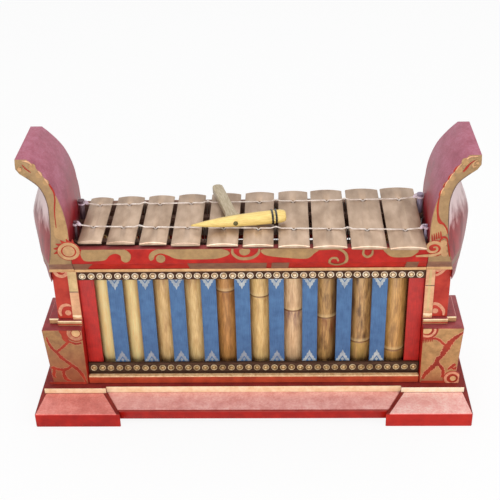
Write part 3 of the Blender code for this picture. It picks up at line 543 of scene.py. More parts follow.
# Brown gold: painted shade of the gold on chamfers that face down.
SHADED_GOLD = GoldPaint("shaded_gold_paint", "906348", "6C4232", metal=0.2)
LEFT_GOLD = GoldPaint("left_block_gold_paint", "A97B4B", "815534", low_tint_span=(0.022, 0.098),
                      low_tint="944630")
RIGHT_GOLD = GoldPaint("right_block_gold_paint", "BF8E5A", "92693C", low_tint_span=(0.018, 0.052))
RIM_GOLD = GoldPaint("pink_gold_paint", "E29E7C", "BC7452", metal=0.1, streak_mm=4.0)
DIM_GOLD = GoldPaint("dim_pink_gold_paint", "C4825E", "96583E", metal=0.15, streak_mm=4.0)
OLIVE_GOLD = GoldPaint("olive_gold_paint", "DDBB86", "BE9E6C")
PEACH_GOLD = GoldPaint("peach_gold_paint", "E6B084", "C69068", metal=0.1)
BLOCK_VEIN = RedLacquer("brown_red_line_paint", "AE3A26", "84261A", bloom_share=0.2)
SILL_RED = RedLacquer("browned_red_lacquer", "BC4A2E", "94341F", bloom_share=0.3)
VEIN_RED = RedLacquer("red_line_paint", "B5311F", "8C2016", bloom_share=0.2)
OUTLINE = FlatPaint("thin_dark_outline_paint", "7A5E4C", "54413A")
SLAT_RED = FlatPaint("red_slat_paint", "C3271E", "9C1A14")
SLAT_BLUE = FlatPaint("blue_slat_paint", "4B739F", "365A86")
SILVER = FlatPaint("silver_stencil_paint", "C2C6C4", "8A94A0", metal=0.2)
DULL_SILVER = FlatPaint("dull_silver_stencil_paint", "A6AAAC", "6E7A90", metal=0.2)
TRAY_WOOD = SolidWood("tray_inside_wood", "A07E6E", "755649", gloss=(0.6, 0.8), shine=0.1)
STAINED = SolidWood("dark_stained_wood", "5B4030", "33221A", gloss=(0.6, 0.8), shine=0.1)
PEG_WOOD = SolidWood("whitened_peg_wood", "A99DB2", "75677C", grain=Grain.ALONG_Z, grain_mm=0.6)
# Darker wood for the left pegs: painted shade.
SHADED_PEG = SolidWood("shaded_peg_wood", "6E5158", "4A333A", grain=Grain.ALONG_Z, grain_mm=0.6)
BRONZE = CastBronze("filed_bronze")
# Very light bronze on the bevels at the keys' ends: polished wear, with a painted highlight along the edge.
WORN_BRONZE_HIGHLIGHT = CastBronze("worn_bronze_edge", "FFE3C8", "F0CBAE", tarnish="DDB596")
COTTON = TwistedCotton("twisted_cotton")
KNOT_COTTON = TwistedCotton("knotted_cotton", "EFDDE6", "BFA3B4")
# Lighter brass for the upper row, painted light for the light it catches from above, and a darker copy for the
# lower row, painted shade.
NAIL_RIM = PlainMetal("brass_rim_painted_light", "FFF6E0", "F0D8AE", metal=0.1, gloss=0.35)
NAIL_DOME = PlainMetal("brass_dome_painted_light", "FFF0D0", "F2CE9A", metal=0.2, gloss=0.22)
LOW_NAIL_RIM = PlainMetal("brass_rim_painted_shade", "DCC69E", "A48A62", metal=0.2, gloss=0.35)
LOW_NAIL_DOME = PlainMetal("brass_dome_painted_shade", "CEAC7A", "967242", metal=0.35, gloss=0.22)
NAIL_GROOVE = PlainMetal("tarnished_groove", "9C7A4C", "6A4C2C", metal=0.3, gloss=0.6)
HOOK_WIRE = PlainMetal("hook_wire", "B9B4AC", "7C776F", metal=0.9, gloss=0.35)
HEAD_WOOD = SolidWood("pale_waxed_hardwood", "F6DA88", "D8B360", turn=(0.0, 0.0, -0.18), grain_mm=1.2)
HANDLE_WOOD = SolidWood("old_grey_hardwood", "C3B295", "93805F", turn=(0.0, 0.0, 1.3), grain_mm=0.8)
BLACK_BINDING = PlainMetal("black_lacquered_cord", "1E1B18", "0E0D0C", metal=0.0, gloss=0.2)
OLIVE_PEG = SolidWood("olive_peg_wood", "6E6438", "453D20", grain=Grain.ALONG_Z, grain_mm=0.5)


# Modelling


def select_only(*pieces: bpy.types.Object) -> None:
    """Select these pieces and nothing else, with the first one active."""
    bpy.ops.object.select_all(action="DESELECT")
    for piece in pieces:
        piece.select_set(True)
    bpy.context.view_layer.objects.active = pieces[0]


@contextmanager
def editing(piece: bpy.types.Object) -> Iterator[None]:
    """Open a piece in edit mode with all of it selected, and close it again."""
    select_only(piece)
    bpy.ops.object.mode_set(mode="EDIT")
    bpy.ops.mesh.select_all(action="SELECT")
    yield
    bpy.ops.object.mode_set(mode="OBJECT")


def cut(place: Place, across: Place, **trimming: bool) -> None:
    """Cut the mesh that is being edited along the plane through a place, across a direction."""
    bpy.ops.mesh.select_all(action="SELECT")
    bpy.ops.mesh.bisect(plane_co=place, plane_no=across, **trimming)


def cuts_along(y: float) -> List[Tuple[Place, Place]]:
    """Give two planes along the case, as far in front of its middle as behind it, as dress takes them."""
    return [((0.0, way * y, 0.0), (0.0, 1.0, 0.0)) for way in (-1, 1)]


def named(name: str) -> bpy.types.Object:
    """Name the piece that an operator has just added, and its mesh."""
    piece = bpy.context.object
    piece.name = name
    piece.data.name = name
    return piece


def linked(name: str, data: Any) -> bpy.types.Object:
    """Put a mesh, a curve, a lamp or a camera into the scene."""
    thing = bpy.data.objects.new(name, data)
    bpy.context.scene.collection.objects.link(thing)
    return thing


def apply_place(piece: bpy.types.Object) -> None:
    """Move the piece's place and turn into its mesh."""
    select_only(piece)
    bpy.ops.object.transform_apply(location=True, rotation=True, scale=True)


def smooth(piece: bpy.types.Object, degrees: float = 32.0) -> None:
    """Shade the piece smooth, with creases over this angle."""
    select_only(piece)
    bpy.ops.object.shade_smooth_by_angle(angle=math.radians(degrees))


def join(name: str, pieces: Sequence[bpy.types.Object]) -> bpy.types.Object:
    """Join several pieces to one with this name."""
    select_only(*pieces)
    if len(pieces) > 1:
        bpy.ops.object.join()
    return named(name)


def from_curve(name: str, lines: Sequence[Sequence[Place]], closed: bool,
               **settings: Any) -> bpy.types.Object:
    """Make a mesh by way of a curve.

    Args:
        name: Name of the piece.
        lines: Points of each line, in millimetres.
        closed: Whether each line comes back to its start.
        settings: Properties of the curve.

    Returns:
        The piece.
    """
    curve = bpy.data.curves.new(name, "CURVE")
    for setting, value in settings.items():
        setattr(curve, setting, value)
    for line in lines:
        spline = curve.splines.new("POLY")
        spline.points.add(len(line) - 1)
        for point, place in zip(spline.points, line):
            point.co = (*(part * MM for part in place), 1.0)
        spline.use_cyclic_u = closed
    select_only(linked(name, curve))
    bpy.ops.object.convert(target="MESH")
    return named(name)


def paint(piece: bpy.types.Object, ground: Finish, *coats: Coat) -> None:
    """Give each face its finish.

    Args:
        piece: Piece to paint.
        ground: Finish of the faces that no coat covers.
        coats: Finish, and a rule on a face's centre and normal. A later coat covers an earlier one.
    """
    piece.data.materials.clear()
    for finish in (ground, *(finish for finish, _ in coats)):
        piece.data.materials.append(finish.material())
    for face in piece.data.polygons:
        face.material_index = 0
        for number, (_, rule) in enumerate(coats, start=1):
            if rule(face.center, face.normal):
                face.material_index = number


def hand_over(piece: bpy.types.Object, slot: Slot, *nodes: str, body: str = "case") -> None:
    """Let a finished piece ride on its body, and hide the nodes it stands for.

    Args:
        piece: Finished piece.
        slot: Material slot of the record; not used.
        nodes: Nodes that it replaces.
        body: Body that it rides on.
    """
    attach(piece, body)
    if nodes:
        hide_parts(*nodes)
    LOG.info("%s: %d faces, rides on %s", piece.name, len(piece.data.polygons), body)


def copy_of_node(node: str, name: str, edge: float = 0.0008, steps: int = 2, flat: bool = True,
                 crease: float = 32.0) -> bpy.types.Object:
    """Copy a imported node, merge its triangles, and round its edges.

    Args:
        node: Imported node.
        name: Name of the piece.
        edge: Width of the rounding.
        steps: Faces across the rounding.
        flat: Whether neighbouring faces in one plane become one.
        crease: Angle over which an edge counts as sharp.

    Returns:
        The piece.
    """
    piece = linked(name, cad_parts[node].data.copy())
    with editing(piece):
        bpy.ops.mesh.remove_doubles(threshold=MERGE)
        if flat:
            bpy.ops.mesh.dissolve_limited(angle_limit=math.radians(FLAT_DEGREES))
    if edge:
        bevel = piece.modifiers.new("bevel", "BEVEL")
        bevel.width, bevel.segments = edge, steps
        bevel.limit_method, bevel.angle_limit = "ANGLE", math.radians(crease)
        bpy.ops.object.modifier_apply(modifier=bevel.name)
    smooth(piece)
    return named(name)


def dress(node: str, look: str, ground: Finish, *coats: Coat, slot: Slot = Slot.PAINTED_WOOD,
          body: str = "case", cuts: Sequence[Tuple[Place, Place]] = (), soft: float = 0.0,
          **rounding: Any) -> None:
    """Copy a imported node, paint the copy, and let it ride in the node's stead.

    Args:
        node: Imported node.
        look: Name of the copy, with braces for the node's own name.
        ground: Finish of the faces that no coat covers.
        coats: Other finishes with their rules, as paint takes them.
        slot: Material slot of the record.
        body: Body that it rides on.
        cuts: Planes where one finish ends inside a face, each as a place and the direction across.
        soft: Angle in degrees up to which its edges are shaded soft, or 0 for the usual one.
        rounding: Rounding of its edges, as copy_of_node takes it.
    """
    piece = copy_of_node(node, look.format(node), **rounding)
    if cuts:
        with editing(piece):
            for place, across in cuts:
                cut(place, across)
    if soft:
        smooth(piece, soft)
    paint(piece, ground, *coats)
    hand_over(piece, slot, node, body=body)


def turned(name: str, centre: Point, stations: Sequence[Point], sides: int,
           soft: float = 50.0) -> bpy.types.Object:
    """Turn a piece about an upright axis, from a disc extruded and resized station by station.

    Args:
        name: Name of the piece.
        centre: Place of the axis.
        stations: Radius and height of each station, from the foot, and down again for a hollow.
        sides: Sides of the round.
        soft: Angle in degrees up to which its edges are shaded soft.

    Returns:
        The piece.
    """
    bpy.ops.object.select_all(action="DESELECT")
    radius, height = stations[0]
    bpy.ops.mesh.primitive_circle_add(vertices=sides, radius=radius, fill_type="NGON",
                                      location=(*centre, height))
    piece = named(name)
    with editing(piece):
        for next_radius, next_height in stations[1:]:
            rise = (0.0, 0.0, next_height - height)
            bpy.ops.mesh.extrude_region_move(TRANSFORM_OT_translate={"value": rise})
            share = next_radius / radius
            bpy.ops.transform.resize(value=(share, share, 1.0), center_override=(*centre, next_height))
            radius, height = next_radius, next_height
    apply_place(piece)
    with editing(piece):
        bpy.ops.mesh.remove_doubles(threshold=MERGE)
        bpy.ops.mesh.normals_make_consistent(inside=False)
    smooth(piece, soft)
    return piece


def rounded_box(name: str, low: Sequence[float], high: Sequence[float], edge: float,
                steps: int = 2) -> bpy.types.Object:
    """Make a board between two corners, with its edges rounded in edit mode.

    Args:
        name: Name of the piece.
        low: Lowest corner.
        high: Highest corner.
        edge: Width of the rounding.
        steps: Faces across the rounding.

    Returns:
        The piece.
    """
    bpy.ops.object.select_all(action="DESELECT")
    size = [far - near for near, far in zip(low, high)]
    middle = [(far + near) / 2 for near, far in zip(low, high)]
    bpy.ops.mesh.primitive_cube_add(size=1.0, location=middle, scale=size)
    piece = named(name)
    apply_place(piece)
    with editing(piece):
        bpy.ops.mesh.bevel(offset=edge, segments=steps)
    smooth(piece)
    return piece


def place_copies(name: str, pattern: bpy.types.Object, places: Sequence[Matrix]) -> bpy.types.Object:
    """Copy a pattern to each place, each with its own mesh, and join the copies.

    Args:
        name: Name of the joined piece.
        pattern: Piece that is copied and then removed.
        places: Place of each copy.

    Returns:
        The joined piece.
    """
    copies = []
    for number, place in enumerate(places):
        copies.append(linked(f"{name}_{number}", pattern.data.copy()))
        copies[-1].data.transform(place)
    bpy.data.objects.remove(pattern)
    return join(name, copies)


# Ornament: flat shapes in millimetres, laid on a face of the case

DISC_SIDES = 24
BEAM_FACE = ((205.7, 49.45), (209.5, 49.45), (223.0, 58.5), (242.5, 58.5))


def through(points: Sequence[Sequence[float]], steps: int = 6,
            closed: bool = False) -> List[Tuple[float, ...]]:
    """Run a smooth line through points.

    Args:
        points: Points of any dimension.
        steps: New points to each stretch.
        closed: Whether the line comes back to its start.

    Returns:
        The dense line.
    """
    count = len(points)
    dense = []
    for i in range(count if closed else count - 1):
        if closed:
            a, b, c, d = (points[(i + k) % count] for k in (-1, 0, 1, 2))
        else:
            a, b = points[max(i - 1, 0)], points[i]
            c, d = points[i + 1], points[min(i + 2, count - 1)]
        for step in range(steps):
            t = step / steps
            dense.append(tuple(
                0.5 * (2 * b[k] + (c[k] - a[k]) * t + (2 * a[k] - 5 * b[k] + 4 * c[k] - d[k]) * t * t
                       + (3 * b[k] - a[k] - 3 * c[k] + d[k]) * t ** 3) for k in range(len(b))))
    if not closed:
        dense.append(tuple(points[-1]))
    return dense


@dataclass(frozen=True)
class Shape:
    """Outlines of one flat shape, in millimetres. A second outline inside the first is a hole."""

    outlines: Tuple[Tuple[Point, ...], ...]


def stroke(*points: Place, ragged: float = 0.0) -> Shape:
    """Give a brush stroke through points with a width at each.

    Args:
        points: Across, up and width.
        ragged: Share by which the width wavers, as under a hand-held brush.

    Returns:
        The stroke's outline.
    """
    dense = through(points)
    left, right = [], []
    for i, (u, v, width) in enumerate(dense):
        before, after = dense[max(i - 1, 0)], dense[min(i + 1, len(dense) - 1)]
        along = Vector((after[0] - before[0], after[1] - before[1])).normalized()
        half = max(width, 0.1) / 2 * (1 + ragged * (math.sin(i * 1.9) + 0.6 * math.sin(i * 0.83)))
        left.append((u - along.y * half, v + along.x * half))
        right.append((u + along.y * half, v - along.x * half))
    return Shape((tuple(left + right[::-1]),))


def disc(u: float, v: float, radius: float, inner: float = 0.0, squash: float = 1.0) -> Shape:
    """Give a disc, or a ring if it has an inner radius.

    Args:
        u: Centre across.
        v: Centre up.
        radius: Outer radius.
        inner: Radius of the hole.
        squash: Height to width.

    Returns:
        The outlines.
    """
    turns = [math.tau * k / DISC_SIDES for k in range(DISC_SIDES)]
    return Shape(tuple(
        tuple((u + size * math.cos(turn), v + size * squash * math.sin(turn)) for turn in turns)
        for size in (radius, inner) if size))


def patch(*points: Point) -> Shape:
    """Give a soft-cornered patch through points."""
    return Shape((tuple(through(points, 4, closed=True)),))


def plate(*points: Point) -> Shape:
    """Give a patch with straight sides."""
    return Shape((tuple(points),))


def mirrored(shapes: Sequence[Shape]) -> List[Shape]:
    """Mirror shapes from the left end to the right end."""
    return [Shape(tuple(tuple((-u, v) for u, v in outline[::-1]) for outline in shape.outlines))
            for shape in shapes]


@dataclass(frozen=True)
class Face:
    """A face of the case that ornament lies on: depth at each height, and the heights where it creases."""

    knots: Tuple[Point, ...]
    looks_back: bool = False
    limits: Tuple[float, float, float, float] = (-270.0, 270.0, 0.0, 350.0)

    def seen_from_behind(self) -> "Face":
        """Give the same face on the players' side."""
        low, high, foot, top = self.limits
        return Face(self.knots, True, (-high, -low, foot, top))

    def depth(self, height: float) -> float:
        """Distance of the face from the middle of the case at a height, both in metres.

        Args:
            height: Height above the floor.

        Returns:
            Distance towards the audience.
        """
        level = height / MM
        for (low, near), (high, far) in zip(self.knots, self.knots[1:]):
            if level <= high:
                share = max((level - low) / (high - low), 0.0)
                return (near + (far - near) * share) * MM
        return self.knots[-1][1] * MM

    def lay(self, name: str, shapes: Sequence[Shape], rise: float, finish: Finish,
            slot: Slot = Slot.PAINTED_WOOD) -> None:
        """Lay flat shapes on the face as thin relief, which rides on the case.

        Args:
            name: Name of the piece.
            shapes: Shapes in millimetres.
            rise: How far they stand out, in millimetres.
            finish: Their finish.
            slot: Material slot of the record.
        """
        piece = join(name, [self._raise(f"{name}_{number}", shape, rise + number * LAYER_MM)
                            for number, shape in enumerate(shapes)])
        left, right, foot, top = (limit * MM for limit in self.limits)
        with editing(piece):
            for level, _ in self.knots[1:-1]:
                cut((0.0, 0.0, level * MM), UP)
            for place, outwards in (((left, 0.0, 0.0), (-1.0, 0.0, 0.0)),
                                    ((right, 0.0, 0.0), (1.0, 0.0, 0.0)),
                                    ((0.0, 0.0, foot), (0.0, 0.0, -1.0)), ((0.0, 0.0, top), UP)):
                cut(place, outwards, clear_outer=True, use_fill=True)
        for point in piece.data.vertices:
            point.co.y -= self.depth(point.co.z)
        if self.looks_back:
            piece.data.transform(Matrix.Rotation(math.pi, 4, "Z"))
        smooth(piece, 40.0)
        paint(piece, finish)
        hand_over(piece, slot)

    @staticmethod
    def _raise(name: str, shape: Shape, rise: float) -> bpy.types.Object:
        """Fill one shape as a flat curve with a rounded rim, sink its back, and stand it upright."""
        edge = min(rise * 0.5, 0.2) * MM
        lines = [[(u, v, 0.0) for u, v in outline] for outline in shape.outlines]
        piece = from_curve(name, lines, True, dimensions="2D", fill_mode="BOTH", bevel_depth=edge,
                           bevel_resolution=1, extrude=rise * MM / 2 - edge + SINK_MM * MM)
        piece.data.transform(Matrix.Translation((0.0, 0.0, rise * MM / 2 - SINK_MM * MM)))
        piece.rotation_euler = (math.pi / 2, 0.0, 0.0)
        apply_place(piece)
        return piece


def flat_face(depth: float, left: float, right: float, foot: float, top: float) -> Face:
    """Give an upright face of the case.

    Args:
        depth: Its distance from the middle.
        left: Its left side.
        right: Its right side.
        foot: Its lower side.
        top: Its upper side.

    Returns:
        The audience's face.
    """
    return Face(((foot, depth), (top, depth)), False, (left, right, foot, top))


@dataclass
class Base:
    """The two feet, the board between them and the plinth that carries the case."""

    edge: float = 0.0010
    steps: int = 3
    plinth_front: float = 0.0452
    bright_from: float = 0.1863
    worn_edge: float = 0.0753
    bare_lines: Tuple[Tuple[Point, Point], ...] = (((0.1915, -0.0430), (0.1672, -0.0878)),
                                                   ((0.2692, -0.0862), (0.2628, -0.0450)))

    def build(self) -> None:
        """Build the feet, the board and the plinth."""
        for node, side, front, top in (("left_foot", -1, BASE_RED, LEFT_BASE_RED),
                                       ("right_foot", 1, RIGHT_FRONT_RED, RIGHT_BASE_RED)):
            cuts = cuts_along(self.plinth_front)
            cuts += [((side * x0, way * y0, 0.0), (side * (y1 - y0), way * (x0 - x1), 0.0))
                     for way in (-1, 1) for (x0, y0), (x1, y1) in self.bare_lines]
            # Each foot's top takes a lighter red with a painted sheen, and painted shade beside its slanted
            # edges and behind the plinth's face.
            dress(node, "{}_lacquered", front, (top, lambda centre, normal: normal.z > 0.3),
                  (PAINTED_SHADE_RED, lambda centre, normal: normal.z > 0.3 and self.bare(centre)),
                  cuts=cuts, edge=self.edge, steps=self.steps)
        # The board's top takes a lighter red with a painted sheen, and a darker band along its edges where the
        # painted sheen is left out.
        dress("base_board", "{}_lacquered", BASE_RED, (BOARD_RED, lambda centre, normal: normal.z > 0.3),
              (EDGE_RED, lambda centre, normal: normal.z > 0.3 and abs(centre.y) > self.worn_edge),
              cuts=cuts_along(self.worn_edge), edge=self.edge, steps=self.steps)
        dress("plinth", "{}_gilt", PAINTED_SHADE_RED,
              (PALE_GOLD, lambda centre, normal: abs(normal.y) > 0.35 and normal.z > -0.8),
              (CREAM_GOLD, lambda centre, normal: abs(normal.y) > 0.35 and normal.z > -0.8
               and centre.x > self.bright_from), edge=self.edge, steps=self.steps)

    def bare(self, centre: Vector) -> bool:
        """Whether a foot's top is in painted shade there, without the painted sheen: beside its slanted edges
        and behind the plinth's face.
        """
        across, near = abs(centre.x), -abs(centre.y)
        return near > -self.plinth_front or any(
            (across - x0) * (y1 - y0) > (near - y0) * (x1 - x0) for (x0, y0), (x1, y1) in self.bare_lines)


@dataclass(frozen=True)
class HornBand:
    """Inner and outer edge of the right horn's front face, in millimetres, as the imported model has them."""

    tray_half: float = TRAY_HALF
    foot: float = 205.7
    height: float = 145.0
    splay: float = HORN_SPLAY
    fade: Point = (0.50, 0.82)
    arc_start: float = 0.375
    tip_reach: float = 52.0
    tip_width: float = 13.5
    outer: Tuple[Point, ...] = ((0, 30.5), (0.12, 27), (0.30, 22), (0.46, 20.8), (0.62, 20.6), (0.70, 22.6),
                                (0.76, 26.4), (0.81, 32.5), (0.847, 40.5), (0.885, 48.5), (0.91, 52), (1, 52))

    def inner_edge(self, level: float, back: bool) -> float:
        """Distance of the inner edge from the middle.

        Args:
            level: Height above the floor.
            back: Whether it is the players' side, where the horns stand wider.

        Returns:
            Distance.
        """
        share = (level - self.foot) / self.height
        full, none = self.fade
        splay = self.splay * min(1.0, max(0.0, (none - share) / (none - full))) if back else 0.0
        inward = self.tip_reach - self.tip_width
        rise = self.height * (1 - self.arc_start)
        radius = (inward ** 2 + rise ** 2) / (2 * inward)
        above = max(0.0, level - self.foot - self.arc_start * self.height)
        return self.tray_half + splay + radius - math.sqrt(radius ** 2 - above ** 2)

    def outer_edge(self, level: float) -> float:
        """Distance of the outer edge from the middle at a height."""
        share = (level - self.foot) / self.height
        for (low, near), (high, far) in zip(self.outer, self.outer[1:]):
            if share <= high:
                return self.tray_half + near + (far - near) * max(0.0, share - low) / (high - low)
        return self.tray_half + self.outer[-1][1]


LEFT_VEINS: Tuple[Tuple[Place, ...], ...] = (
    ((-254, 102.5, 1.1), (-252.7, 94.3, 2.6), (-248.6, 84.7, 3.1), (-244.3, 79.9, 3.6), (-239.6, 72, 4),
     (-233.6, 65.4, 3.6), (-227.4, 59.3, 4), (-220.4, 51.9, 4), (-215.5, 43.3, 3.6), (-212.4, 33.1, 1.9)),
    ((-244.3, 79.9, 2.6), (-238, 85.2, 3), (-232.4, 90.6, 3.2), (-227.5, 96.5, 3), (-231.2, 101.1, 3),
     (-233.3, 106.4, 3.4), (-234.8, 111.9, 2.2)),
    ((-234.7, 112.7, 1.5), (-230, 111.7, 2.8), (-225.3, 111.4, 1.9)),
    ((-227.5, 96.5, 1.9), (-223.4, 94.3, 2.4), (-217.8, 92.5, 2.8), (-211.7, 93.8, 2)),
    ((-227.4, 59.3, 2.8), (-231.8, 54.4, 3.2), (-238, 52.3, 3.8), (-245.7, 53, 3.3), (-251.2, 55.5, 3.5),
     (-254.2, 54.5, 1.5)),
    ((-251.2, 55.5, 2.2), (-250.6, 49.6, 3.5), (-252.2, 43.4, 3.2), (-250.1, 39.5, 1.3)),
    ((-238, 52.3, 3), (-239.1, 44.7, 4), (-236.6, 36.9, 4.2), (-231.2, 34.2, 1.9)))
RIGHT_VEINS: Tuple[Tuple[Place, ...], ...] = (
    ((258.1, 107.3, 1.1), (253.4, 102.5, 3.5), (248.2, 97.8, 5), (243.1, 90.9, 6.6), (239.9, 83.8, 7.6),
     (236.6, 76.8, 6.6), (234.3, 70.8, 4.6), (229.9, 66.2, 5.4), (228.9, 60.1, 5.6), (224.5, 54.1, 5.8),
     (219.7, 48.1, 5.4), (215.3, 42, 4.6), (213.2, 35.7, 3)),
    ((213.4, 97, 1.3), (220.1, 97.8, 2.6), (225.7, 97.8, 3), (230.8, 94.9, 2.8), (234.3, 90.9, 2.8),
     (238.9, 87.1, 2.8)),
    ((228.9, 60.1, 4.2), (233.4, 56.2, 3.6), (237.2, 50.2, 3.8), (238.1, 44.1, 3.5), (237.2, 38, 2.8)),
    ((244, 50.4, 1.5), (248.8, 55.2, 3.8), (252.4, 58.5, 2.8)),
    ((248.2, 53.3, 1.5), (251.8, 51.3, 3.2), (253.4, 53.8, 1.9)))


@dataclass
class CaseEnd:
    """One end of the case: block, collar, post and the horn above them."""

    side: int
    band: HornBand = HornBand()
    vein_rise: float = 0.18
    rim_width: float = 1.3
    gilt_rise: float = 0.55
    leaf_rise: float = 0.35
    back_curl_size: float = 0.72
    pilaster_edge: float = 0.2206

    @property
    def name(self) -> str:
        """Left or right."""
        return "left" if self.side < 0 else "right"

    def reach(self, near: float, far: float) -> Tuple[float, float]:
        """Give two distances from the middle as the lower and the higher place on this side."""
        low, high = sorted((self.side * near, self.side * far))
        return low, high

    def way(self, back: bool) -> int:
        """Give the side on which the end is when its front or back is looked at."""
        return -self.side if back else self.side

    def curl_size(self, back: bool) -> float:
        """Give the size of the curl to the front one."""
        return self.back_curl_size if back else 1.0

    def build(self) -> None:
        """Build the four pieces with their ornament."""
        self.build_block()
        self.build_collar()
        self.build_post()
        self.build_horn()

    def lay_both(self, part: str, face: Face, shapes: Sequence[Shape], rise: float, finish: Finish) -> None:
        """Lay ornament on the audience's face, and the same on the players' face.

        Args:
            part: Name of the ornament.
            face: The audience's face.
            shapes: Shapes on it.
            rise: How far they stand out, in millimetres.
            finish: Their finish.
        """
        face.lay(f"{self.name}_front_{part}", shapes, rise, finish)
        face.seen_from_behind().lay(f"{self.name}_back_{part}", mirrored(shapes), rise, finish)

    def build_block(self) -> None:
        """Tapered block: gold face, red sides, red veins and curls."""
        gold, rim_gold, veins = ((LEFT_GOLD, DIM_GOLD, LEFT_VEINS) if self.side < 0 else
                                 (RIGHT_GOLD, RIM_GOLD, RIGHT_VEINS))
        dress(f"{self.name}_block", "{}_painted", RED, (SHADED_RED, lambda centre, normal: normal.z > 0.6),
              (gold, lambda centre, normal: abs(normal.y) > 0.8 and centre.z > 0.034), edge=0.0012, steps=3)
        face = flat_face(36.6, *self.reach(209.5, 258.6), 29.0, 112.9)
        rims = [stroke(*((u, v, width + self.rim_width) for u, v, width in vein), ragged=0.16)
                for vein in veins]
        lines = [stroke(*vein, ragged=0.2) for vein in veins] + self.block_grounds()
        self.lay_both("block_rims", face, rims, self.vein_rise, rim_gold)
        self.lay_both("block_veins", face, lines, self.vein_rise * 2, BLOCK_VEIN)
        self.lay_both("block_gilt", face, self.block_rings(), self.gilt_rise, rim_gold)
        self.lay_both("block_bosses", face, self.block_bosses(), self.gilt_rise, BRIGHT_GOLD)

    def block_grounds(self) -> List[Shape]:
        """Red grounds of the rings, fringe, and the strip at the block's foot."""
        strip = plate((-258.5, 32.4), (-211.5, 32.4), (-211.5, 29), (-258.5, 29))
        if self.side < 0:
            ground = patch((-237.4, 112.8), (-226, 112.8), (-228.6, 105), (-226.6, 96), (-229.6, 94.8),
                           (-234.4, 100), (-235, 106))
            return [strip, ground, disc(-217, 108.7, 12.8)]
        fringe = []
        for k in range(6):
            across = 2.1 * k
            fringe.append(stroke((210.4 + across, 99.2, 1.4), (210.6 + across, 95.4, 1.2),
                                 (210.9 + across, 91.6 + 0.4 * k, 0.4)))
        return [*mirrored([strip]), disc(250.2, 36.3, 11.4), disc(214.5, 110.8, 13.2), *fringe]

    def block_rings(self) -> List[Shape]:
        """Pink-gold rings in the block's corners."""
        if self.side < 0:
            return [disc(-217, 108.7, 11, 6.6)]
        return [disc(214.5, 110.8, 10.8, 8), disc(250.2, 36.3, 10.3, 7.2)]

    def block_bosses(self) -> List[Shape]:
        """Gold bosses inside the rings."""
        if self.side < 0:
            return [disc(-217, 108.7, 5.2)]
        return [disc(213.4, 111.4, 6.2), disc(251, 36, 3.6)]

    def build_collar(self) -> None:
        """Collar between block and post: cream gold with a red line round its waist."""
        dress(f"{self.name}_collar", "{}_gilt", CURL_GOLD,
              (SHADED_RED, lambda centre, normal: normal.z > 0.9 or (abs(normal.y) < 0.2 and normal.z > 0.1)),
              (RED, lambda centre, normal: abs(normal.y) < 0.5 and abs(normal.x) > 0.6),
              # Paler gold on the front edges that lean up: a painted highlight.
              (PALE_GOLD, lambda centre, normal: abs(normal.y) > 0.2 and normal.z > 0.2),
              edge=0.0016, steps=3)
        low, high = self.reach(209.6, 239.6)
        line = plate((low, 115.6), (high, 115.6), (high, 117), (low, 117))
        self.lay_both("collar_line", flat_face(29.0, low, high, 113.6, 121.1), [line], self.vein_rise, VEIN_RED)

    def build_post(self) -> None:
        """Post: red, with a gold pilaster and gold quarter rings in its corners."""
        mark, upper_gold = (162.6, OLIVE_GOLD) if self.side < 0 else (168.8, PEACH_GOLD)
        dress(f"{self.name}_post", "{}_painted", POST_RED, (PEACH_GOLD, self.on_pilaster),
              (upper_gold, lambda centre, normal: self.on_pilaster(centre, normal) and centre.z > mark * MM),
              cuts=[((0.0, 0.0, mark * MM), UP)])
        face = flat_face(23.6, *self.reach(220.8, 239.2), 121.6, 205.0)
        self.lay_both("post_gilt", face, self.post_gilt(), self.gilt_rise, RIM_GOLD)
        low, high = self.reach(209.6, 220.2)
        pilaster = flat_face(26.1, low, high, 121.6, 205.0)
        joint = plate((low, mark - 0.5), (high, mark - 0.5), (high, mark + 0.5), (low, mark + 0.5))
        self.lay_both("pilaster_joint", pilaster, [joint], self.vein_rise, OUTLINE)
        foot = [stroke((low, 127.6, 2.2), ((low + high) / 2, 126.6, 3.4), (high, 127.4, 2.6))]
        self.lay_both("pilaster_foot", pilaster, foot, self.gilt_rise, PALE_GOLD)
        if self.side > 0:
            middle = [stroke((214.6, 132, 2.4), (214.4, 160, 3.4), (214.8, 185, 3), (214.6, 198, 2))]
            self.lay_both("pilaster_middle", pilaster, middle, self.vein_rise, OLIVE_GOLD)

    def on_pilaster(self, centre: Vector, normal: Vector) -> bool:
        """Whether a face of the post lies on the front or back of its pilaster."""
        return abs(normal.y) > 0.5 and abs(centre.x) < self.pilaster_edge

    def post_gilt(self) -> List[Shape]:
        """Gold quarter rings and bosses in the post's corners."""
        if self.side < 0:
            return [
                stroke((-221.6, 140.6, 1.6), (-226.2, 142.2, 3.4), (-231.5, 140.7, 3.8), (-234.9, 136.3, 3.8),
                       (-236.1, 131.1, 3.4), (-235, 125.9, 2.2)),
                disc(-225.9, 130.5, 3.6), disc(-228, 191.4, 9.4, 5.4), disc(-226.1, 192.4, 3.4),
            ]
        return [
            stroke((219.6, 139.7, 2.4), (223.1, 141.1, 3.6), (227.4, 139.5, 3.8), (231.6, 135.2, 3.8),
                   (234.4, 129.8, 3.4), (234.4, 124, 1.9)),
            disc(223.9, 130.3, 3.6), disc(223.6, 191.4, 4.4),
            stroke((218.6, 182.2, 2.1), (222.9, 182.6, 2.7), (227.8, 186.2, 3.2), (231.7, 190.9, 3.2),
                   (236.4, 193.4, 2.7), (239.2, 195, 1.7)),
        ]

    def build_horn(self) -> None:
        """Horn: red lacquer, gold on its front and back faces, with carved curls at its foot."""
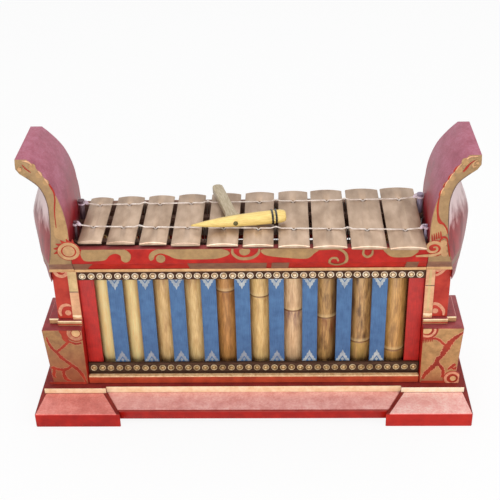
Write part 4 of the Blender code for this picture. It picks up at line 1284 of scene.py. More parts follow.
        # The horn's red carries a painted sheen, its outer bulge a painted reflection of the room, and the gold
        # on its downward chamfer is darkened as painted shade.
        dress(f"{self.name}_horn", "{}_painted", HORN_RED,
              (BULGE, lambda centre, normal: normal.x * self.side > 0.15 and centre.z < 0.3235),
              (HORN_GOLD, lambda centre, normal: abs(normal.y) > 0.72 and centre.z > 0.2225),
              (SHADED_GOLD, lambda centre, normal: abs(normal.y) > 0.4 and 0.2096 < centre.z < 0.2228),
              (BRIGHT_GOLD, lambda centre, normal: abs(normal.y) > 0.6 and 0.2055 < centre.z < 0.2096),
              soft=38.0, edge=0.0009, steps=3, flat=False, crease=48.0)
        for back in (False, True):
            face = Face((*BEAM_FACE, (350.7, 44.0)), back)
            for part, shapes, rise, finish in (
                    ("leaf", self.leaves(back), self.leaf_rise, LEAF_GOLD),
                    ("veins", self.horn_lines(back), self.vein_rise + self.leaf_rise, VEIN_RED),
                    ("edge_lines", self.edge_lines(back), self.vein_rise, OUTLINE),
                    ("highlights", self.highlights(back), self.gilt_rise + self.leaf_rise, PEACH_GOLD),
                    ("gilt", self.horn_gilt(back), self.gilt_rise + self.leaf_rise, CURL_GOLD)):
                face.lay(f"{self.name}_horn_{'back' if back else 'front'}_{part}", shapes, rise, finish)

    def across(self, back: bool, share: float, level: float) -> float:
        """Place of a point on the horn, at some share of the way from its inner to its outer edge."""
        inner = self.band.inner_edge(level, back)
        return self.way(back) * (inner + (self.band.outer_edge(level) - inner) * share)

    def line(self, back: bool, *points: Place) -> Shape:
        """Give a brush stroke that follows the horn.

        Args:
            back: Whether it lies on the players' side.
            points: Share of the way from the inner to the outer edge, height and width.

        Returns:
            The stroke's outline.
        """
        return stroke(*((self.across(back, share, level), level, width) for share, level, width in points))

    def spot(self, back: bool, share: float, level: float, radius: float) -> Shape:
        """Give a disc that follows the horn, as line does."""
        return disc(self.across(back, share, level), level, radius)

    def area(self, back: bool, *points: Point) -> Shape:
        """Give a soft patch that follows the horn, as line does."""
        return patch(*((self.across(back, share, level), level) for share, level in points))

    def curl_place(self, back: bool) -> float:
        """Middle of the big curl: over the joint of horn and beam in front, and on the horn behind."""
        in_front = 1.6 if self.side < 0 else 5.7
        return self.way(back) * (self.band.inner_edge(241.0, back) + (11.0 if back else in_front))

    def leaves(self, back: bool) -> List[Shape]:
        """Lighter leaf between the inner edge and the main vein, and the lumps along the upper inner edge."""
        if back:
            lumps = []
        elif self.side < 0:
            lumps = [self.spot(back, 0.13, 342.0 - 9.0 * k, 3.9 - 0.3 * k) for k in range(3)]
        else:
            lumps = [self.spot(back, 0.16, 343.0 - 9.0 * k, 4.2 - 0.2 * k) for k in range(5)]
        if self.side < 0:
            leaf = self.area(back, (0.06, 312), (0.20, 305), (0.52, 293), (0.66, 282), (0.74, 270),
                             (0.70, 258), (0.30, 255), (0.07, 259), (0.07, 285))
        else:
            leaf = self.area(back, (0.06, 300), (0.16, 294), (0.30, 285), (0.48, 276), (0.80, 268),
                             (0.90, 261), (0.80, 257), (0.30, 255.6), (0.07, 259), (0.07, 280))
        return [leaf, *lumps]

    def edge_lines(self, back: bool) -> List[Shape]:
        """Thin dark line along the outer edge."""
        return [self.line(back, (0.95, 330, 0.6), (0.96, 318, 0.9), (0.96, 300, 0.9), (0.96, 280, 0.9),
                          (0.965, 258, 0.9), (0.97, 238, 0.9), (0.97, 224, 0.6))]

    def highlights(self, back: bool) -> List[Shape]:
        """Cream rims of the lumps, which catch the light."""
        if back:
            return [self.line(back, (0.10, 345, 0.5), (0.08, 338, 0.8), (0.08, 330, 0.5))]
        if self.side < 0:
            return [self.line(back, (0.42, 349.6, 0.8), (0.22, 349.4, 1.4), (0.06, 347.6, 1.4),
                              (0.03, 344.4, 0.8)),
                    self.line(back, (0.02, 337.4, 0.6), (0, 335.2, 1.3), (0.03, 332.4, 0.6)),
                    self.line(back, (0.02, 328.4, 0.6), (0, 326, 1.3), (0.03, 323.2, 0.6))]
        return [self.line(back, (0.70, 349.6, 0.8), (0.40, 349.6, 1.5), (0.20, 349, 1.2), (0.08, 346.6, 0.7)),
                *(self.line(back, (0.05, 340.6 - 9.0 * k, 0.4), (0.02, 337.0 - 9.0 * k, 0.7),
                            (0.06, 333.6 - 9.0 * k, 0.4)) for k in range(4))]

    def horn_lines(self, back: bool) -> List[Shape]:
        """Red veins of the horn's face, with the fringe and the ground of the curl at its foot."""
        middle = self.curl_place(back)
        way = self.way(back)
        size = self.curl_size(back)
        if self.side < 0:
            rim = [] if back else [self.line(back, (0, 322, 0.8), (0, 318, 1.8), (0.02, 313, 1.6),
                                             (0.10, 308.5, 1.2))]
            fringe = []
            for degrees in (68, 92, 116, 140, 164, 188):
                out, lead = math.radians(degrees), math.radians(degrees - 9)
                fringe.append(stroke(*((middle + way * reach * math.cos(math.pi - turn),
                                        240.4 + reach * 0.9 * math.sin(turn), width) for turn, reach, width in
                                       ((lead, 12.4, 2.4), (out, 14.6, 2.2), (out + 0.05, 17.4, 0.5)))))
            return [
                *rim, *([] if back else fringe), disc(middle, 240.4, 13.6 * size, 0, 0.88),
                self.line(back, (0.06, 311.5, 0.8), (0.24, 304, 1.3), (0.50, 294, 1.2), (0.60, 284, 0.8),
                          (0.62, 270, 0.5)),
                self.line(back, (0.58, 344.6, 0.4), (0.50, 340, 0.9), (0.40, 336, 0.4)),
            ]
        fringe = [stroke(*((middle + way * (2.4 * k - out), up + 0.9 * k, width) for out, up, width in
                           ((2.4, 250.4, 1.5), (3, 255.4, 1.1), (3.4, 258, 0.4)))) for k in range(5)]
        # Red crescents along the scalloped inner edge: painted shade in the gaps of the scallops.
        scallop_shade = [self.line(back, (0.06, 340.0 - 9.0 * k, 0.6), (-0.03, 336.4 - 9.0 * k, 1.4),
                              (-0.01, 332.6 - 9.0 * k, 1.2), (0.06, 330.6 - 9.0 * k, 0.6)) for k in range(4)]
        return [
            *([] if back else fringe + scallop_shade),
            disc(middle, 240.6, 11.6 * size, 0, 0.88) if back else disc(middle + 1.8, 240.6, 9.8, 0, 1.04),
            self.line(back, (0.05, 304, 0.5), (0.12, 298, 1.2), (0.20, 290, 1.9), (0.32, 281, 2),
                      (0.47, 273.4, 3.6), (0.70, 270.2, 1.8), (0.87, 264.6, 1.4), (0.93, 259, 0.5)),
            self.line(back, (0.52, 250.2, 1), (0.68, 254.2, 2.2), (0.86, 253.6, 1.8), (0.95, 249, 0.6)),
            self.line(back, (0.92, 250, 0.6), (0.94, 240, 1.8), (0.94, 230, 1.2)),
            self.line(back, (0.60, 344.4, 0.4), (0.46, 341, 1), (0.42, 336.4, 2.2), (0.46, 331.6, 0.8)),
        ]

    def horn_gilt(self, back: bool) -> List[Shape]:
        """Gold relief at the horn's foot and tip: the big curl, and scales or a bead."""
        middle = self.curl_place(back)
        way = self.way(back)
        size = self.curl_size(back)
        if self.side < 0:
            return [disc(middle, 240.4, 12.6 * size, 9.0 * size, 0.88),
                    disc(middle, 240.6, 7.0 * size, 0, 0.95), self.spot(back, 0.80, 339.6, 2.3)]
        scales = [self.spot(back, 0.72, 247.4 - 6.8 * k, 3.7) for k in range(3)]
        turn = [(1, -9.2, 2), (6.8, -6.6, 3), (9.4, 0, 3.4), (6.4, 6.2, 3.4), (0, 8.4, 3.4),
                (-6.2, 5.6, 3.2), (-7.6, 0, 2.8), (-4.6, -4.6, 2.6), (0.8, -5, 2.4), (3.6, -1.6, 2.2),
                (2.2, 1.8, 2), (-0.8, 1.6, 1.4)]
        curl = stroke(*((middle + way * across * size, 240.8 + up * size * 0.88, width * size)
                        for across, up, width in turn))
        join_on = [] if back else [stroke((middle - way * 20, 230.6, 1.6), (middle - way * 12, 231.2, 2.6),
                                          (middle - way * 4, 231.4, 3), (middle + way * 3, 232.8, 2.6))]
        hook = self.line(back, (0.74, 345, 0.8), (0.60, 341.6, 1.4), (0.66, 337.6, 1.6), (0.82, 338.4, 1))
        return [curl, *join_on, *scales, hook, self.spot(back, 0.80, 341.8, 1.6)]


@dataclass
class Tray:
    """The two moulded beams above the panels, with their gold bands."""

    face: Face = Face(BEAM_FACE, False, (-204.4, 204.4, 205.9, 242.3))
    gilt_rise: float = 0.5
    vein_rise: float = 0.2

    def build(self) -> None:
        """Build both beams and their ornament."""
        for node, looks_back in (("front_beam", False), ("back_beam", True)):
            # The front beam's top is red darkened as painted shade under the keys, with a painted sheen; the
            # chamfer bands below are gold in painted shade.
            dress(node, "{}_painted", RED,
                  (TRAY_WOOD if looks_back else BEAM_RED, lambda centre, normal: normal.z > 0.7),
                  (TRAY_WOOD, lambda centre, normal: abs(centre.y) < 0.0496 and centre.z > 0.2100),
                  (BRIGHT_GOLD, lambda centre, normal: abs(centre.y) > 0.0489 and centre.z < 0.2098
                   and normal.z > -0.8))
            face = self.face.seen_from_behind() if looks_back else self.face
            face.lay(f"{node}_gilt", self.bands(), self.gilt_rise, GOLD)
            face.lay(f"{node}_chamfer_gilt", self.chamfer_bands(), self.vein_rise, SHADED_GOLD)

    @staticmethod
    def bands() -> List[Shape]:
        """Gold scrollwork of the upright face, from left to right."""
        return [
            patch((-191.5, 242), (-170, 242.2), (-150, 242.2), (-141.4, 241.6), (-136, 235.6),
                  (-137, 228.4), (-142, 225), (-146.6, 228), (-147.2, 233.8), (-152.6, 237),
                  (-160.3, 234.4), (-165.6, 228.6), (-176, 227.2), (-190.6, 228.2)),
            patch((-94.6, 242.2), (-103.8, 242), (-111.3, 238.6), (-114.8, 232.7), (-113.4, 227.4),
                  (-109.8, 229), (-108, 233.6), (-101.6, 236.9), (-92.9, 234.4), (-82.3, 229.3),
                  (-60, 228.6), (-39.6, 229.1), (-29, 231.6), (-21.6, 236.4), (-30.9, 242), (-60, 242.2)),
            disc(-101.4, 229.6, 5.2),
            stroke((-18.4, 242, 2), (-18, 235.6, 3), (-10.1, 229.3, 3.4), (2.6, 229.8, 3.4),
                   (10.6, 235.4, 3), (12.4, 241.6, 1.6)),
            patch((-9.6, 241.4), (-9.8, 235.8), (-4.8, 233.4), (0.6, 236.2), (0.8, 241.4)),
            patch((19.6, 242), (45, 242.2), (72.3, 241.8), (80, 240.2), (74.8, 235.4), (70.8, 231.1),
                  (65.3, 228.6), (52, 229), (39, 230.4), (26, 232), (17.9, 234.4), (14, 239.3)),
            stroke((78, 240.6, 1.6), (88, 241, 1.6), (98, 241.4, 1.8), (104.2, 240.3, 2.6),
                   (110.8, 234.7, 3), (112, 225.4, 3), (106, 218.9, 3), (98.4, 217.9, 2.8),
                   (92.6, 222.4, 2.6), (94.4, 228.2, 2.2), (100.4, 228.6, 2.4), (102.6, 224.6, 1.6)),
            stroke((118, 241, 1.2), (128, 241.2, 2), (145, 241, 2), (160, 240.4, 1.6)),
            stroke((131.4, 240.4, 1.6), (130.8, 234, 2.4), (135.2, 230.2, 2.6), (140.4, 233, 2.4),
                   (141.4, 239, 1.4)),
            patch((154.4, 241), (175, 241.8), (190, 241), (193.3, 237.4), (188.7, 232.6), (184, 230.1),
                  (172, 229.4), (163.6, 230.2), (157.9, 234.2)),
        ]

    @staticmethod
    def chamfer_bands() -> List[Shape]:
        """Gold darkened as painted shade on the leaning face under the scrolls, which faces down."""
        return [
            plate((-204.4, 222.8), (-181, 222.8), (-186, 216), (-189.5, 209.9), (-204.4, 209.9)),
            plate((-71, 222.8), (20.5, 222.8), (19.5, 209.9), (-69, 209.9)),
            plate((26.5, 222.8), (46.5, 222.8), (45, 209.9), (25.5, 209.9)),
            plate((181, 222.8), (195, 222.8), (194, 209.9), (180, 209.9)),
        ]


@dataclass
class Panels:
    """Sills, studded rails, painted slats and the back board between the posts."""

    slats: int = 11
    face_y: float = 22.3
    rail_front: float = -0.0266
    rail_back: float = -0.0226
    gilt_to: float = 0.0298
    # The upper row takes the brass painted light, the lower row the brass painted shade.
    nail_rows: Tuple[Tuple[str, int, Finish, Finish], ...] = (
        ("front_upper_rail", 39, NAIL_RIM, NAIL_DOME), ("front_lower_rail", 38, LOW_NAIL_RIM, LOW_NAIL_DOME))
    first_nail_x: float = -0.2020
    nail: Tuple[Point, ...] = ((4.20, -0.10), (4.30, 0.60), (3.90, 1.05), (3.25, 1.00), (2.75, 0.50),
                               (2.30, 0.45), (2.10, 1.25), (1.55, 1.85), (0.70, 2.15))
    nail_sides: int = 12
    dome_radius: float = 2.2
    groove_radius: float = 3.1
    nail_lean: float = 0.09
    silver_rise: float = 0.12
    vee_top: float = 179.6
    vee_foot: float = 54.0
    vee_height: float = 17.0

    def build(self) -> None:
        """Build the panels of the case."""
        for node in ("front_sill", "back_sill"):
            # Dark brown on the sill's top behind its gilt edge: painted shadow under the rail.
            dress(node, "{}_painted", SILL_RED, (STAINED, lambda centre, normal: normal.z > 0.6),
                  (SILL_GOLD, lambda centre, normal: normal.z > 0.35 and abs(centre.y) > self.gilt_to),
                  cuts=cuts_along(self.gilt_to), edge=0.0010, steps=3)
        self.build_rails()
        self.build_slats()
        dress("back_panel", "{}_painted", STAINED, (RED, lambda centre, normal: normal.y > 0.5), edge=0.0006)

    def build_rails(self) -> None:
        """Dark rails with a row of domed brass nails each."""
        chance = random.Random(SEED)
        for node, count, rim, dome in self.nail_rows:
            low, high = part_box(node)
            rail = rounded_box(f"{node}_stained", (low.x, self.rail_front, low.z),
                               (high.x, self.rail_back, high.z), 0.0007)
            paint(rail, STAINED)
            hand_over(rail, Slot.DARK_WOOD, node)
            stations = [(radius * MM, rise * MM) for radius, rise in self.nail]
            pattern = turned(f"{node}_nail", (0.0, 0.0), stations, self.nail_sides)
            paint(pattern, rim,
                  (NAIL_GROOVE, lambda centre, normal: Vector(centre[:2]).length < self.groove_radius * MM),
                  (dome, lambda centre, normal: Vector(centre[:2]).length < self.dome_radius * MM))
            pitch = -2 * self.first_nail_x / (count - 1)
            places = []
            for number in range(count):
                x = self.first_nail_x + pitch * number + chance.uniform(-0.25, 0.25) * MM
                z = (low.z + high.z) / 2 + chance.uniform(-0.3, 0.3) * MM
                lean, tilt = (chance.uniform(-self.nail_lean, self.nail_lean) for _ in range(2))
                places.append(Matrix.Translation((x, self.rail_front, z)) @ Matrix.Rotation(tilt, 4, "Z")
                              @ Matrix.Rotation(math.pi / 2 + lean, 4, "X"))
            hand_over(place_copies(f"{node}_nails", pattern, places), Slot.DARK_WOOD)

    def build_slats(self) -> None:
        """Thin painted slats, the blue ones with a silver vee at each end."""
        face = flat_face(self.face_y, -205.0, 205.0, 40.5, 205.0)
        for number in range(1, self.slats + 1):
            node = f"slat_{number}"
            if number in (1, self.slats):
                dress(node, "{}_painted", SLAT_RED, slot=Slot.RED_SLAT, edge=0.0005)
                continue
            dress(node, "{}_painted", SLAT_BLUE, slot=Slot.BLUE_SLAT, edge=0.0005)
            low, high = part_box(node)
            middle, half = (low.x + high.x) / 2 / MM, (high.x - low.x) / 2 / MM - 0.7
            for end, start, way in (("top", self.vee_top, -1), ("foot", self.vee_foot, 1)):
                silver = DULL_SILVER if way > 0 and number < self.slats - 3 else SILVER
                face.lay(f"{node}_{end}_vee", self.vee(middle, half, start, way), self.silver_rise, silver,
                         Slot.BLUE_SLAT)

    def vee(self, middle: float, half: float, start: float, way: int) -> List[Shape]:
        """Give one silver vee with its small diamond.

        Args:
            middle: Middle of the slat.
            half: Half the width of the vee.
            start: Height of its open end.
            way: -1 where it points down and 1 where it points up.

        Returns:
            The shapes.
        """
        tip = start + way * self.vee_height
        step = way * self.vee_height / 6
        steps = ((1, 0), (0.86, 1.2), (0.66, 1.4), (0.62, 2.5), (0.42, 2.8), (0.38, 4), (0.18, 4.4))
        outline = [(middle - half * share, start + rise * step) for share, rise in steps]
        outline.append((middle, tip))
        outline += [(middle + half * share, start + rise * step) for share, rise in steps[::-1]]
        outline += [(middle + half * 0.54, start), (middle, tip - step * 3.1), (middle - half * 0.54, start)]
        low = start + step * 0.2
        diamond = [(middle, low - step * 0.4), (middle + 2.1, low + step * 0.6), (middle, low + step * 1.7),
                   (middle - 2.1, low + step * 0.6)]
        if way > 0:
            outline, diamond = outline[::-1], diamond[::-1]
        return [plate(*outline), plate(*diamond)]


@dataclass(frozen=True)
class CulmTone:
    """Colours of one bamboo tube, the stain under its node, and which side is darker."""

    light: str
    dark: str
    stain: str
    share: float
    under: str = "A86C3C"
    under_share: float = 0.3
    dark_side: int = 0


@dataclass
class Resonators:
    """The ten bamboo tubes, and the frame that they stand in."""

    first_x: float = -0.1830
    pitches: Tuple[float, ...] = (0.0360, 0.0380, 0.0378, 0.0395, 0.0420, 0.0409, 0.0406, 0.0427, 0.0425, 0.0)
    thin: float = 0.0115
    thick: float = 0.0150
    wall: float = 0.0025
    foot_z: float = 0.0286
    top_z: float = 0.2225
    node_z: Tuple[float, ...] = (0.2050, 0.1990, 0.1930, 0.1870, 0.1532, 0.1457, 0.1248, 0.1140, 0.0771,
                                 0.0644)
    sides: int = 40
    lip: float = 0.0004
    shift: float = 0.37
    tones: Tuple[CulmTone, ...] = (
        CulmTone("FFE8A8", "FFD488", "F0BE74", 0.3),
        CulmTone("FFE8A4", "FFD28C", "C88C54", 0.3, "9C5C34", 0.5, 1),
        CulmTone("F6D194", "D6A563", "A8693C", 0.5, "8E4A2C", 0.8),
        CulmTone("F8D698", "DBAC68", "B07440", 0.45, "94502E", 0.7),
        CulmTone("D79B5A", "A97038", "7E4E28", 0.6, "A0602C", 0.5),
        CulmTone("F9D490", "D8A560", "B07C48", 0.5, "B07840", 0.4),
        CulmTone("F4CFA0", "D4A070", "AA7450", 0.5, "8A5E5A", 0.85),
        CulmTone("CEA062", "9A6A38", "5A3A20", 0.9, "8E4E2C", 0.8, 1),
        CulmTone("D4A568", "A5733E", "5A3A20", 0.9, "D8AE5E", 0.7, -1),
        CulmTone("DAA660", "A8743A", "7A5028", 0.6, "A87840", 0.4))

    def build(self) -> None:
        """Build the tubes and dress the frame."""
        x = self.first_x
        for number, (tone, node_z, pitch) in enumerate(zip(self.tones, self.node_z, self.pitches), start=1):
            radius = self.thin + (self.thick - self.thin) * (number - 1) / 9
            tube = self.tube(number, x, radius, node_z)
            side = tone.dark_side or 1
            flank = (x + side * radius * 0.25, x + side * radius * 0.7, 1.3 * abs(tone.dark_side))
            paint(tube, BambooCulm(f"bamboo_culm_{number}", tone.light, tone.dark, tone.stain, tone.share,
                                   node_z, number * self.shift, tone.under, tone.under_share, flank))
            hand_over(tube, Slot.BAMBOO, f"tube_{number}")
            x += pitch
        dress("resonator_shelf", "{}_stained", STAINED, slot=Slot.DARK_WOOD, edge=0.0005)

    def tube(self, number: int, x: float, radius: float, node_z: float) -> bpy.types.Object:
        """Turn one tube: straight wall, a swollen node with its scar, and a bore down to the node.

        Args:
            number: Number of the tube.
            x: Its place.
            radius: Its outer radius.
            node_z: Height of its node.

        Returns:
            The tube.
        """
        bore = radius - self.wall
        stations: List[Point] = [(radius * 0.985, self.foot_z), (radius, self.foot_z + 0.0006)]
        for extra, rise in ((0.0, -0.0060), (0.0004, -0.0030), (0.0007, -0.0014), (0.0001, -0.0006),
                            (0.0001, 0.0), (0.0006, 0.0008), (0.0003, 0.0026), (0.0, 0.0060)):
            stations.append((radius + extra, node_z + rise))
        stations += [(radius, self.top_z - self.lip), (radius - self.lip, self.top_z),
                     (bore + self.lip, self.top_z), (bore, self.top_z - self.lip), (bore, node_z + 0.0008),
                     (bore * 0.9, node_z)]
        return turned(f"bamboo_tube_{number}", (x, 0.0), stations, self.sides)


@dataclass
class Keys:
    """The ten bronze keys."""

    count: int = 10
    edge: float = 0.0007
    end_reach: float = 0.0020

    def build(self) -> None:
        """Build each key on its own body."""
        for number in range(1, self.count + 1):
            node = f"key_{number}"
            low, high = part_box(node)
            # The bevels at each key's ends take the pale worn bronze: polished wear with a painted highlight.
            dress(node, "bronze_{}", BRONZE,
                  (WORN_BRONZE_HIGHLIGHT, lambda centre, normal: 0.25 < normal.z < 0.96 and abs(normal.y) > 0.25 and not
                   low.y + self.end_reach < centre.y < high.y - self.end_reach),
                  slot=Slot.BRONZE, body=node, soft=25.0, edge=self.edge, crease=30.0)


@dataclass(frozen=True)
class CordRun:
    """One cord: its node, where it starts and ends in depth, and the radius of its two pegs."""

    node: str
    ends: Point
    peg: float


@dataclass
class Cords:
    """The two cords that carry the keys, with the rails, pegs and wire hooks that hold them."""

    runs: Tuple[CordRun, ...] = (CordRun("front_cord", (-20.5, -34.8), 1.8),
                                 CordRun("rear_cord", (30.9, 40.2), 3.5))
    level: float = 251.6
    dip: float = 2.7
    dip_half: float = 2.4
    lift: float = 2.4
    hook_run: float = 6.0
    wire_z: float = 0.2334
    pegs_from: float = 0.19
    step: float = 0.5
    strand: float = 0.46
    strands: int = 3
    lay: float = 5.2
    half_depth: float = 58.5
    peg_gap: float = 0.9
    knot_room: float = 1.8
    tuft: int = 16
    fibre: float = 0.24
    first_key: float = -196.5
    widths: Tuple[float, ...] = (27.4, 32.5, 31.7, 33.1, 35.9, 35.2, 35.8, 38.6, 40.0, 41.5)
    gaps: Tuple[float, ...] = (5.9, 5.4, 5.2, 7.6, 5.3, 5.3, 3.6, 4.5, 2.9)
    hooked: Tuple[int, ...] = (1, 3, 5, 7)

    def build(self) -> None:
        """Build the rails and both cords."""
        for node in ("front_cord_rail", "rear_cord_rail"):
            # The pegs on the left take a darker wood as painted shade.
            dress(node, "{}_stained", TRAY_WOOD, (HOOK_WIRE, lambda centre, normal: centre.z > self.wire_z),
                  (PEG_WOOD, lambda centre, normal: centre.z > self.wire_z and centre.x > self.pegs_from),
                  (SHADED_PEG, lambda centre, normal: centre.z > self.wire_z and centre.x < -self.pegs_from),
                  slot=Slot.DARK_WOOD, edge=0.0)
        for run in self.runs:
            cord = self.twist(f"{run.node}_cotton", self.path(run), self.strand)
            paint(cord, COTTON)
            hand_over(cord, Slot.CORD, run.node)
            for side in (-1, 1):
                knot = self.knot(run, side)
                paint(knot, KNOT_COTTON)
                hand_over(knot, Slot.CORD)

    def depth(self, run: CordRun, x: float) -> float:
        """Depth of a cord at a place along the keys."""
        return run.ends[0] + (run.ends[1] - run.ends[0]) * (x + TRAY_HALF) / (2 * TRAY_HALF)

    def wall(self, run: CordRun, side: int) -> float:
        """Distance from the middle to the splayed horn behind the peg at one end."""
        y = self.depth(run, side * TRAY_HALF)
        return TRAY_HALF + HORN_SPLAY * (y - run.peg + self.half_depth) / (2 * self.half_depth)

    def peg_place(self, run: CordRun, side: int) -> Point:
        """Middle of the peg at one end."""
        return side * (self.wall(run, side) - run.peg - self.peg_gap), self.depth(run, side * TRAY_HALF)

    def end_of(self, run: CordRun, side: int) -> Place:
        """Where the straight cord meets its knot at one end."""
        x = side * (self.wall(run, side) - (run.peg * 2 + self.knot_room))
        return x, self.depth(run, x), self.level + self.lift

    def path(self, run: CordRun) -> List[Vector]:
        """Run of the cord, in millimetres: level over the keys, down at each hole and up over each hook.

        Args:
            run: The cord.

        Returns:
            Its points, about half a millimetre apart.
        """
        stations = [(self.end_of(run, side)[0], self.level + self.lift) for side in (-1, 1)]
        edge = self.first_key
        for number, (width, gap) in enumerate(zip(self.widths, (*self.gaps, 0.0))):
            middle = edge + width / 2
            stations += [(middle - self.dip_half, self.level), (middle, self.level - self.dip),
                         (middle + self.dip_half, self.level)]
            edge += width
            if number in self.hooked:
                hook = edge + gap / 2
                stations += [(hook - self.hook_run, self.level), (hook, self.level + self.lift),
                             (hook + self.hook_run, self.level)]
            edge += gap
        stations.sort()
        dense: List[Vector] = []
        for (x0, z0), (x1, z1) in zip(stations, stations[1:]):
            count = max(1, round((x1 - x0) / self.step))
            for step in range(count):
                x = x0 + (x1 - x0) * step / count
                dense.append(Vector((x, self.depth(run, x), z0 + (z1 - z0) * step / count)))
        dense.append(Vector(self.end_of(run, 1)))
        soft = [(before + here * 2 + after) / 4 for before, here, after in zip(dense, dense[1:], dense[2:])]
        return [dense[0], *soft, dense[-1]]

    def twist(self, name: str, path: Sequence[Vector], strand: float) -> bpy.types.Object:
        """Lay three strands round a path.

        Args:
            name: Name of the piece.
            path: Points of the path, in millimetres.
            strand: Radius of one strand, in millimetres.

        Returns:
            The cord.
        """
        strands = []
        for turn in range(self.strands):
            points, run = [], 0.0
            for number, place in enumerate(path):
                ahead = (path[min(number + 1, len(path) - 1)] - path[max(number - 1, 0)]).normalized()
                side = ahead.cross(Vector(UP))
                side = side.normalized() if side.length > 0.1 else Vector((1.0, 0.0, 0.0))
                up = side.cross(ahead)
                if number:
                    run += (place - path[number - 1]).length
                angle = math.tau * (run / self.lay + turn / self.strands)
                points.append(place + (side * math.cos(angle) + up * math.sin(angle)) * strand * 0.86)
            strands.append(self.wire(f"{name}_{turn}", points, strand))
        return join(name, strands)

    @staticmethod
    def wire(name: str, points: Sequence[Vector], radius: float) -> bpy.types.Object:
        """Run a thin round wire through points in millimetres, as a mesh."""
        wire = from_curve(name, [points], False, dimensions="3D", bevel_depth=radius * MM, bevel_resolution=1,
                          use_fill_caps=True)
        smooth(wire, 60.0)
        return wire

    def knot(self, run: CordRun, side: int) -> bpy.types.Object:
        """Turns round the peg, a hitch on the cord, and a frayed tail.

        Args:
            run: The cord.
            side: -1 for the left end and 1 for the right end.

        Returns:
            The knot.
        """
        chance = random.Random(SEED + side + int(run.peg * 10))
        name = f"{run.node}_{'left' if side < 0 else 'right'}_knot"
        peg_x, peg_y = self.peg_place(run, side)
        end = Vector(self.end_of(run, side))
        round_peg = run.peg + 0.25
        turns = [end]
        for step in range(31):
            angle = math.pi * (0.5 + 2 * step / 12)
            turns.append(Vector((peg_x - side * round_peg * math.sin(angle),
                                 peg_y + round_peg * math.cos(angle), end.z + 0.55 - 1.3 * step / 30)))
        turns.append(end + Vector((0.0, 0.5, 0.4)))
        parts = [self.twist(f"{name}_turns", self.dense(turns), self.strand * 0.9)]
        hitch = end - Vector((side * 1.3, 0.0, 0.0))
        coil = []
        for step in range(37):
            angle = math.tau * step / 12
            coil.append(hitch + Vector((-side * 2.4 * step / 36, 1.25 * math.cos(angle),
                                        1.25 * math.sin(angle))))
        parts.append(self.twist(f"{name}_hitch", self.dense(coil), self.strand * 0.8))
        root = coil[-1]
        for number in range(self.tuft):
            spread = math.tau * number / self.tuft
            reach = chance.uniform(5.0, 10.5)
            tip = root + Vector((side * reach * 0.55, -reach * 0.30 + 3.0 * math.cos(spread),
                                 reach * 0.36 + 2.4 * math.sin(spread)))
            bend = root.lerp(tip, 0.5) + Vector((0.0, 0.0, chance.uniform(0.2, 1.0)))
            parts.append(self.wire(f"{name}_fibre_{number}", self.dense([root, bend, tip]), self.fibre))
        return join(name, parts)

    @staticmethod
    def dense(points: Sequence[Vector]) -> List[Vector]:
        """Smooth a line through points."""
        return [Vector(place) for place in through([tuple(point) for point in points], 4)]


@dataclass
class Mallet:
    """The mallet that lies on the keys: head, handle, peg and two bindings."""

    pieces: Tuple[Tuple[str, str, Finish, Slot, float, float], ...] = (
        ("mallet_head", "{}_waxed", HEAD_WOOD, Slot.HEAD_WOOD, 0.0, 60.0),
        ("mallet_handle", "{}_worn", HANDLE_WOOD, Slot.HANDLE_WOOD, 0.0006, 0.0),
        ("mallet_peg", "{}_olive", OLIVE_PEG, Slot.HANDLE_WOOD, 0.0003, 0.0),
        ("mallet_binding_1", "{}_black", BLACK_BINDING, Slot.BINDING, 0.0, 60.0),
        ("mallet_binding_2", "{}_black", BLACK_BINDING, Slot.BINDING, 0.0, 60.0))
    flat: str = "mallet_peg"

    def build(self) -> None:
        """Dress the mallet's pieces."""
        for node, look, finish, slot, edge, soft in self.pieces:
            dress(node, look, finish, slot=slot, body="mallet", soft=soft, edge=edge, flat=node == self.flat)


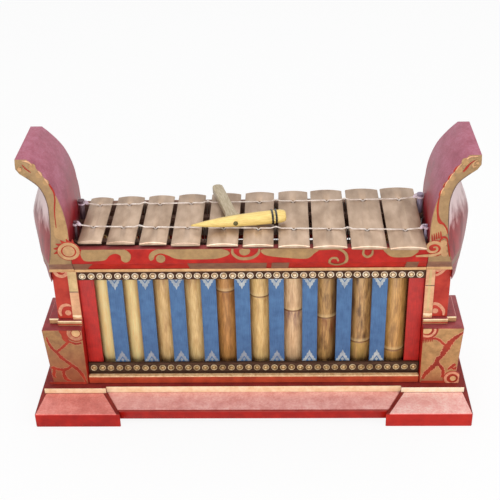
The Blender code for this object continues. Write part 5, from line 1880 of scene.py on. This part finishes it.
@dataclass
class Studio:
    """Camera at the photograph's angle, a plain pale floor and soft light."""

    focal_px: float = 1030.88
    frame_px: float = 500.0
    sensor_mm: float = 36.0
    pitch: float = 0.5478878
    yaw: float = -0.0379976
    roll: float = -0.0273774
    eye: Place = (0.03982, -1.06237, 0.85332)
    floor_half: float = 6.0
    floor_z: float = -0.0002
    lamps: Tuple[Tuple[str, Place, float, float], ...] = (
        ("key_light", (-0.9, -1.3, 1.7), 1.4, 8.0), ("fill_light", (1.3, -0.9, 1.2), 1.4, 8.0),
        ("top_light", (0.1, 0.5, 2.0), 1.8, 14.0), ("front_light", (-0.1, -2.3, 0.5), 1.4, 22.0))
    aim: Place = (0.0, 0.0, 0.15)

    def build(self) -> None:
        """Set the camera, the floor, the lamps and the world."""
        bpy.context.scene.view_settings.view_transform = "Standard"
        self.build_camera()
        self.build_floor()
        self.build_world()
        for lamp in self.lamps:
            self.build_lamp(*lamp)

    def build_camera(self) -> None:
        """Put the camera at the photograph's viewpoint."""
        right = Vector((math.cos(self.yaw), -math.sin(self.yaw), 0.0))
        level = Vector((math.sin(self.yaw), math.cos(self.yaw), 0.0))
        ahead = level * math.cos(self.pitch) - Vector(UP) * math.sin(self.pitch)
        down = ahead.cross(right)
        turn, lift = math.cos(self.roll), math.sin(self.roll)
        axes = (right * turn - down * lift, -(right * lift + down * turn), -ahead)
        place = Matrix(axes).transposed().to_4x4()
        place.translation = Vector(self.eye)
        data = bpy.data.cameras.new("camera")
        data.sensor_width = self.sensor_mm
        data.lens = self.focal_px / self.frame_px * self.sensor_mm
        camera = linked("camera", data)
        camera.matrix_world = place
        bpy.context.scene.camera = camera

    def build_floor(self) -> None:
        """Lay a plain pale floor that looks white and keeps the shadow."""
        bpy.ops.object.select_all(action="DESELECT")
        bpy.ops.mesh.primitive_plane_add(size=self.floor_half * 2, location=(0.0, 0.0, self.floor_z))
        floor = named("floor")
        apply_place(floor)
        material = bpy.data.materials.new("pale_floor")
        material.use_nodes = True
        nodes = Nodes(material.node_tree)
        nodes.surface("F4F3F1", 0.9, specular_ior_level=0.0)
        nodes.whiten("ShaderNodeEmission", nodes.shader, nodes.maths("MULTIPLY", nodes.seen(), 0.9))
        floor.data.materials.append(material)

    @staticmethod
    def build_world() -> None:
        """Give a soft grey-white surround that the camera sees as white."""
        world = bpy.data.worlds.new("surround")
        bpy.context.scene.world = world
        world.use_nodes = True
        nodes = Nodes(world.node_tree)
        nodes.feed(nodes.shader, {"Color": "F6F8FC", "Strength": 0.55})
        nodes.whiten("ShaderNodeBackground", nodes.shader, nodes.seen())

    def build_lamp(self, name: str, place: Place, size: float, power: float) -> None:
        """Hang one soft lamp that faces the instrument.

        Args:
            name: Name of the lamp.
            place: Where it hangs.
            size: Side of its square.
            power: Its power in watts.
        """
        data = bpy.data.lights.new(name, "AREA")
        data.shape = "SQUARE"
        data.size = size
        data.energy = power
        lamp = linked(name, data)
        lamp.location = place
        lamp.rotation_euler = (Vector(self.aim) - Vector(place)).to_track_quat("-Z", "Y").to_euler()


def main() -> None:
    """Build every sub-assembly in order."""
    logging.basicConfig(level=logging.INFO, format="%(name)s %(message)s")
    Studio().build()
    for assembly in (Base(), CaseEnd(-1), CaseEnd(1), Tray(), Panels(), Resonators(), Keys(), Cords(),
                     Mallet()):
        LOG.info("building %s", type(assembly).__name__)
        assembly.build()
    bpy.context.view_layer.update()


if __name__ == "__main__":
    main()
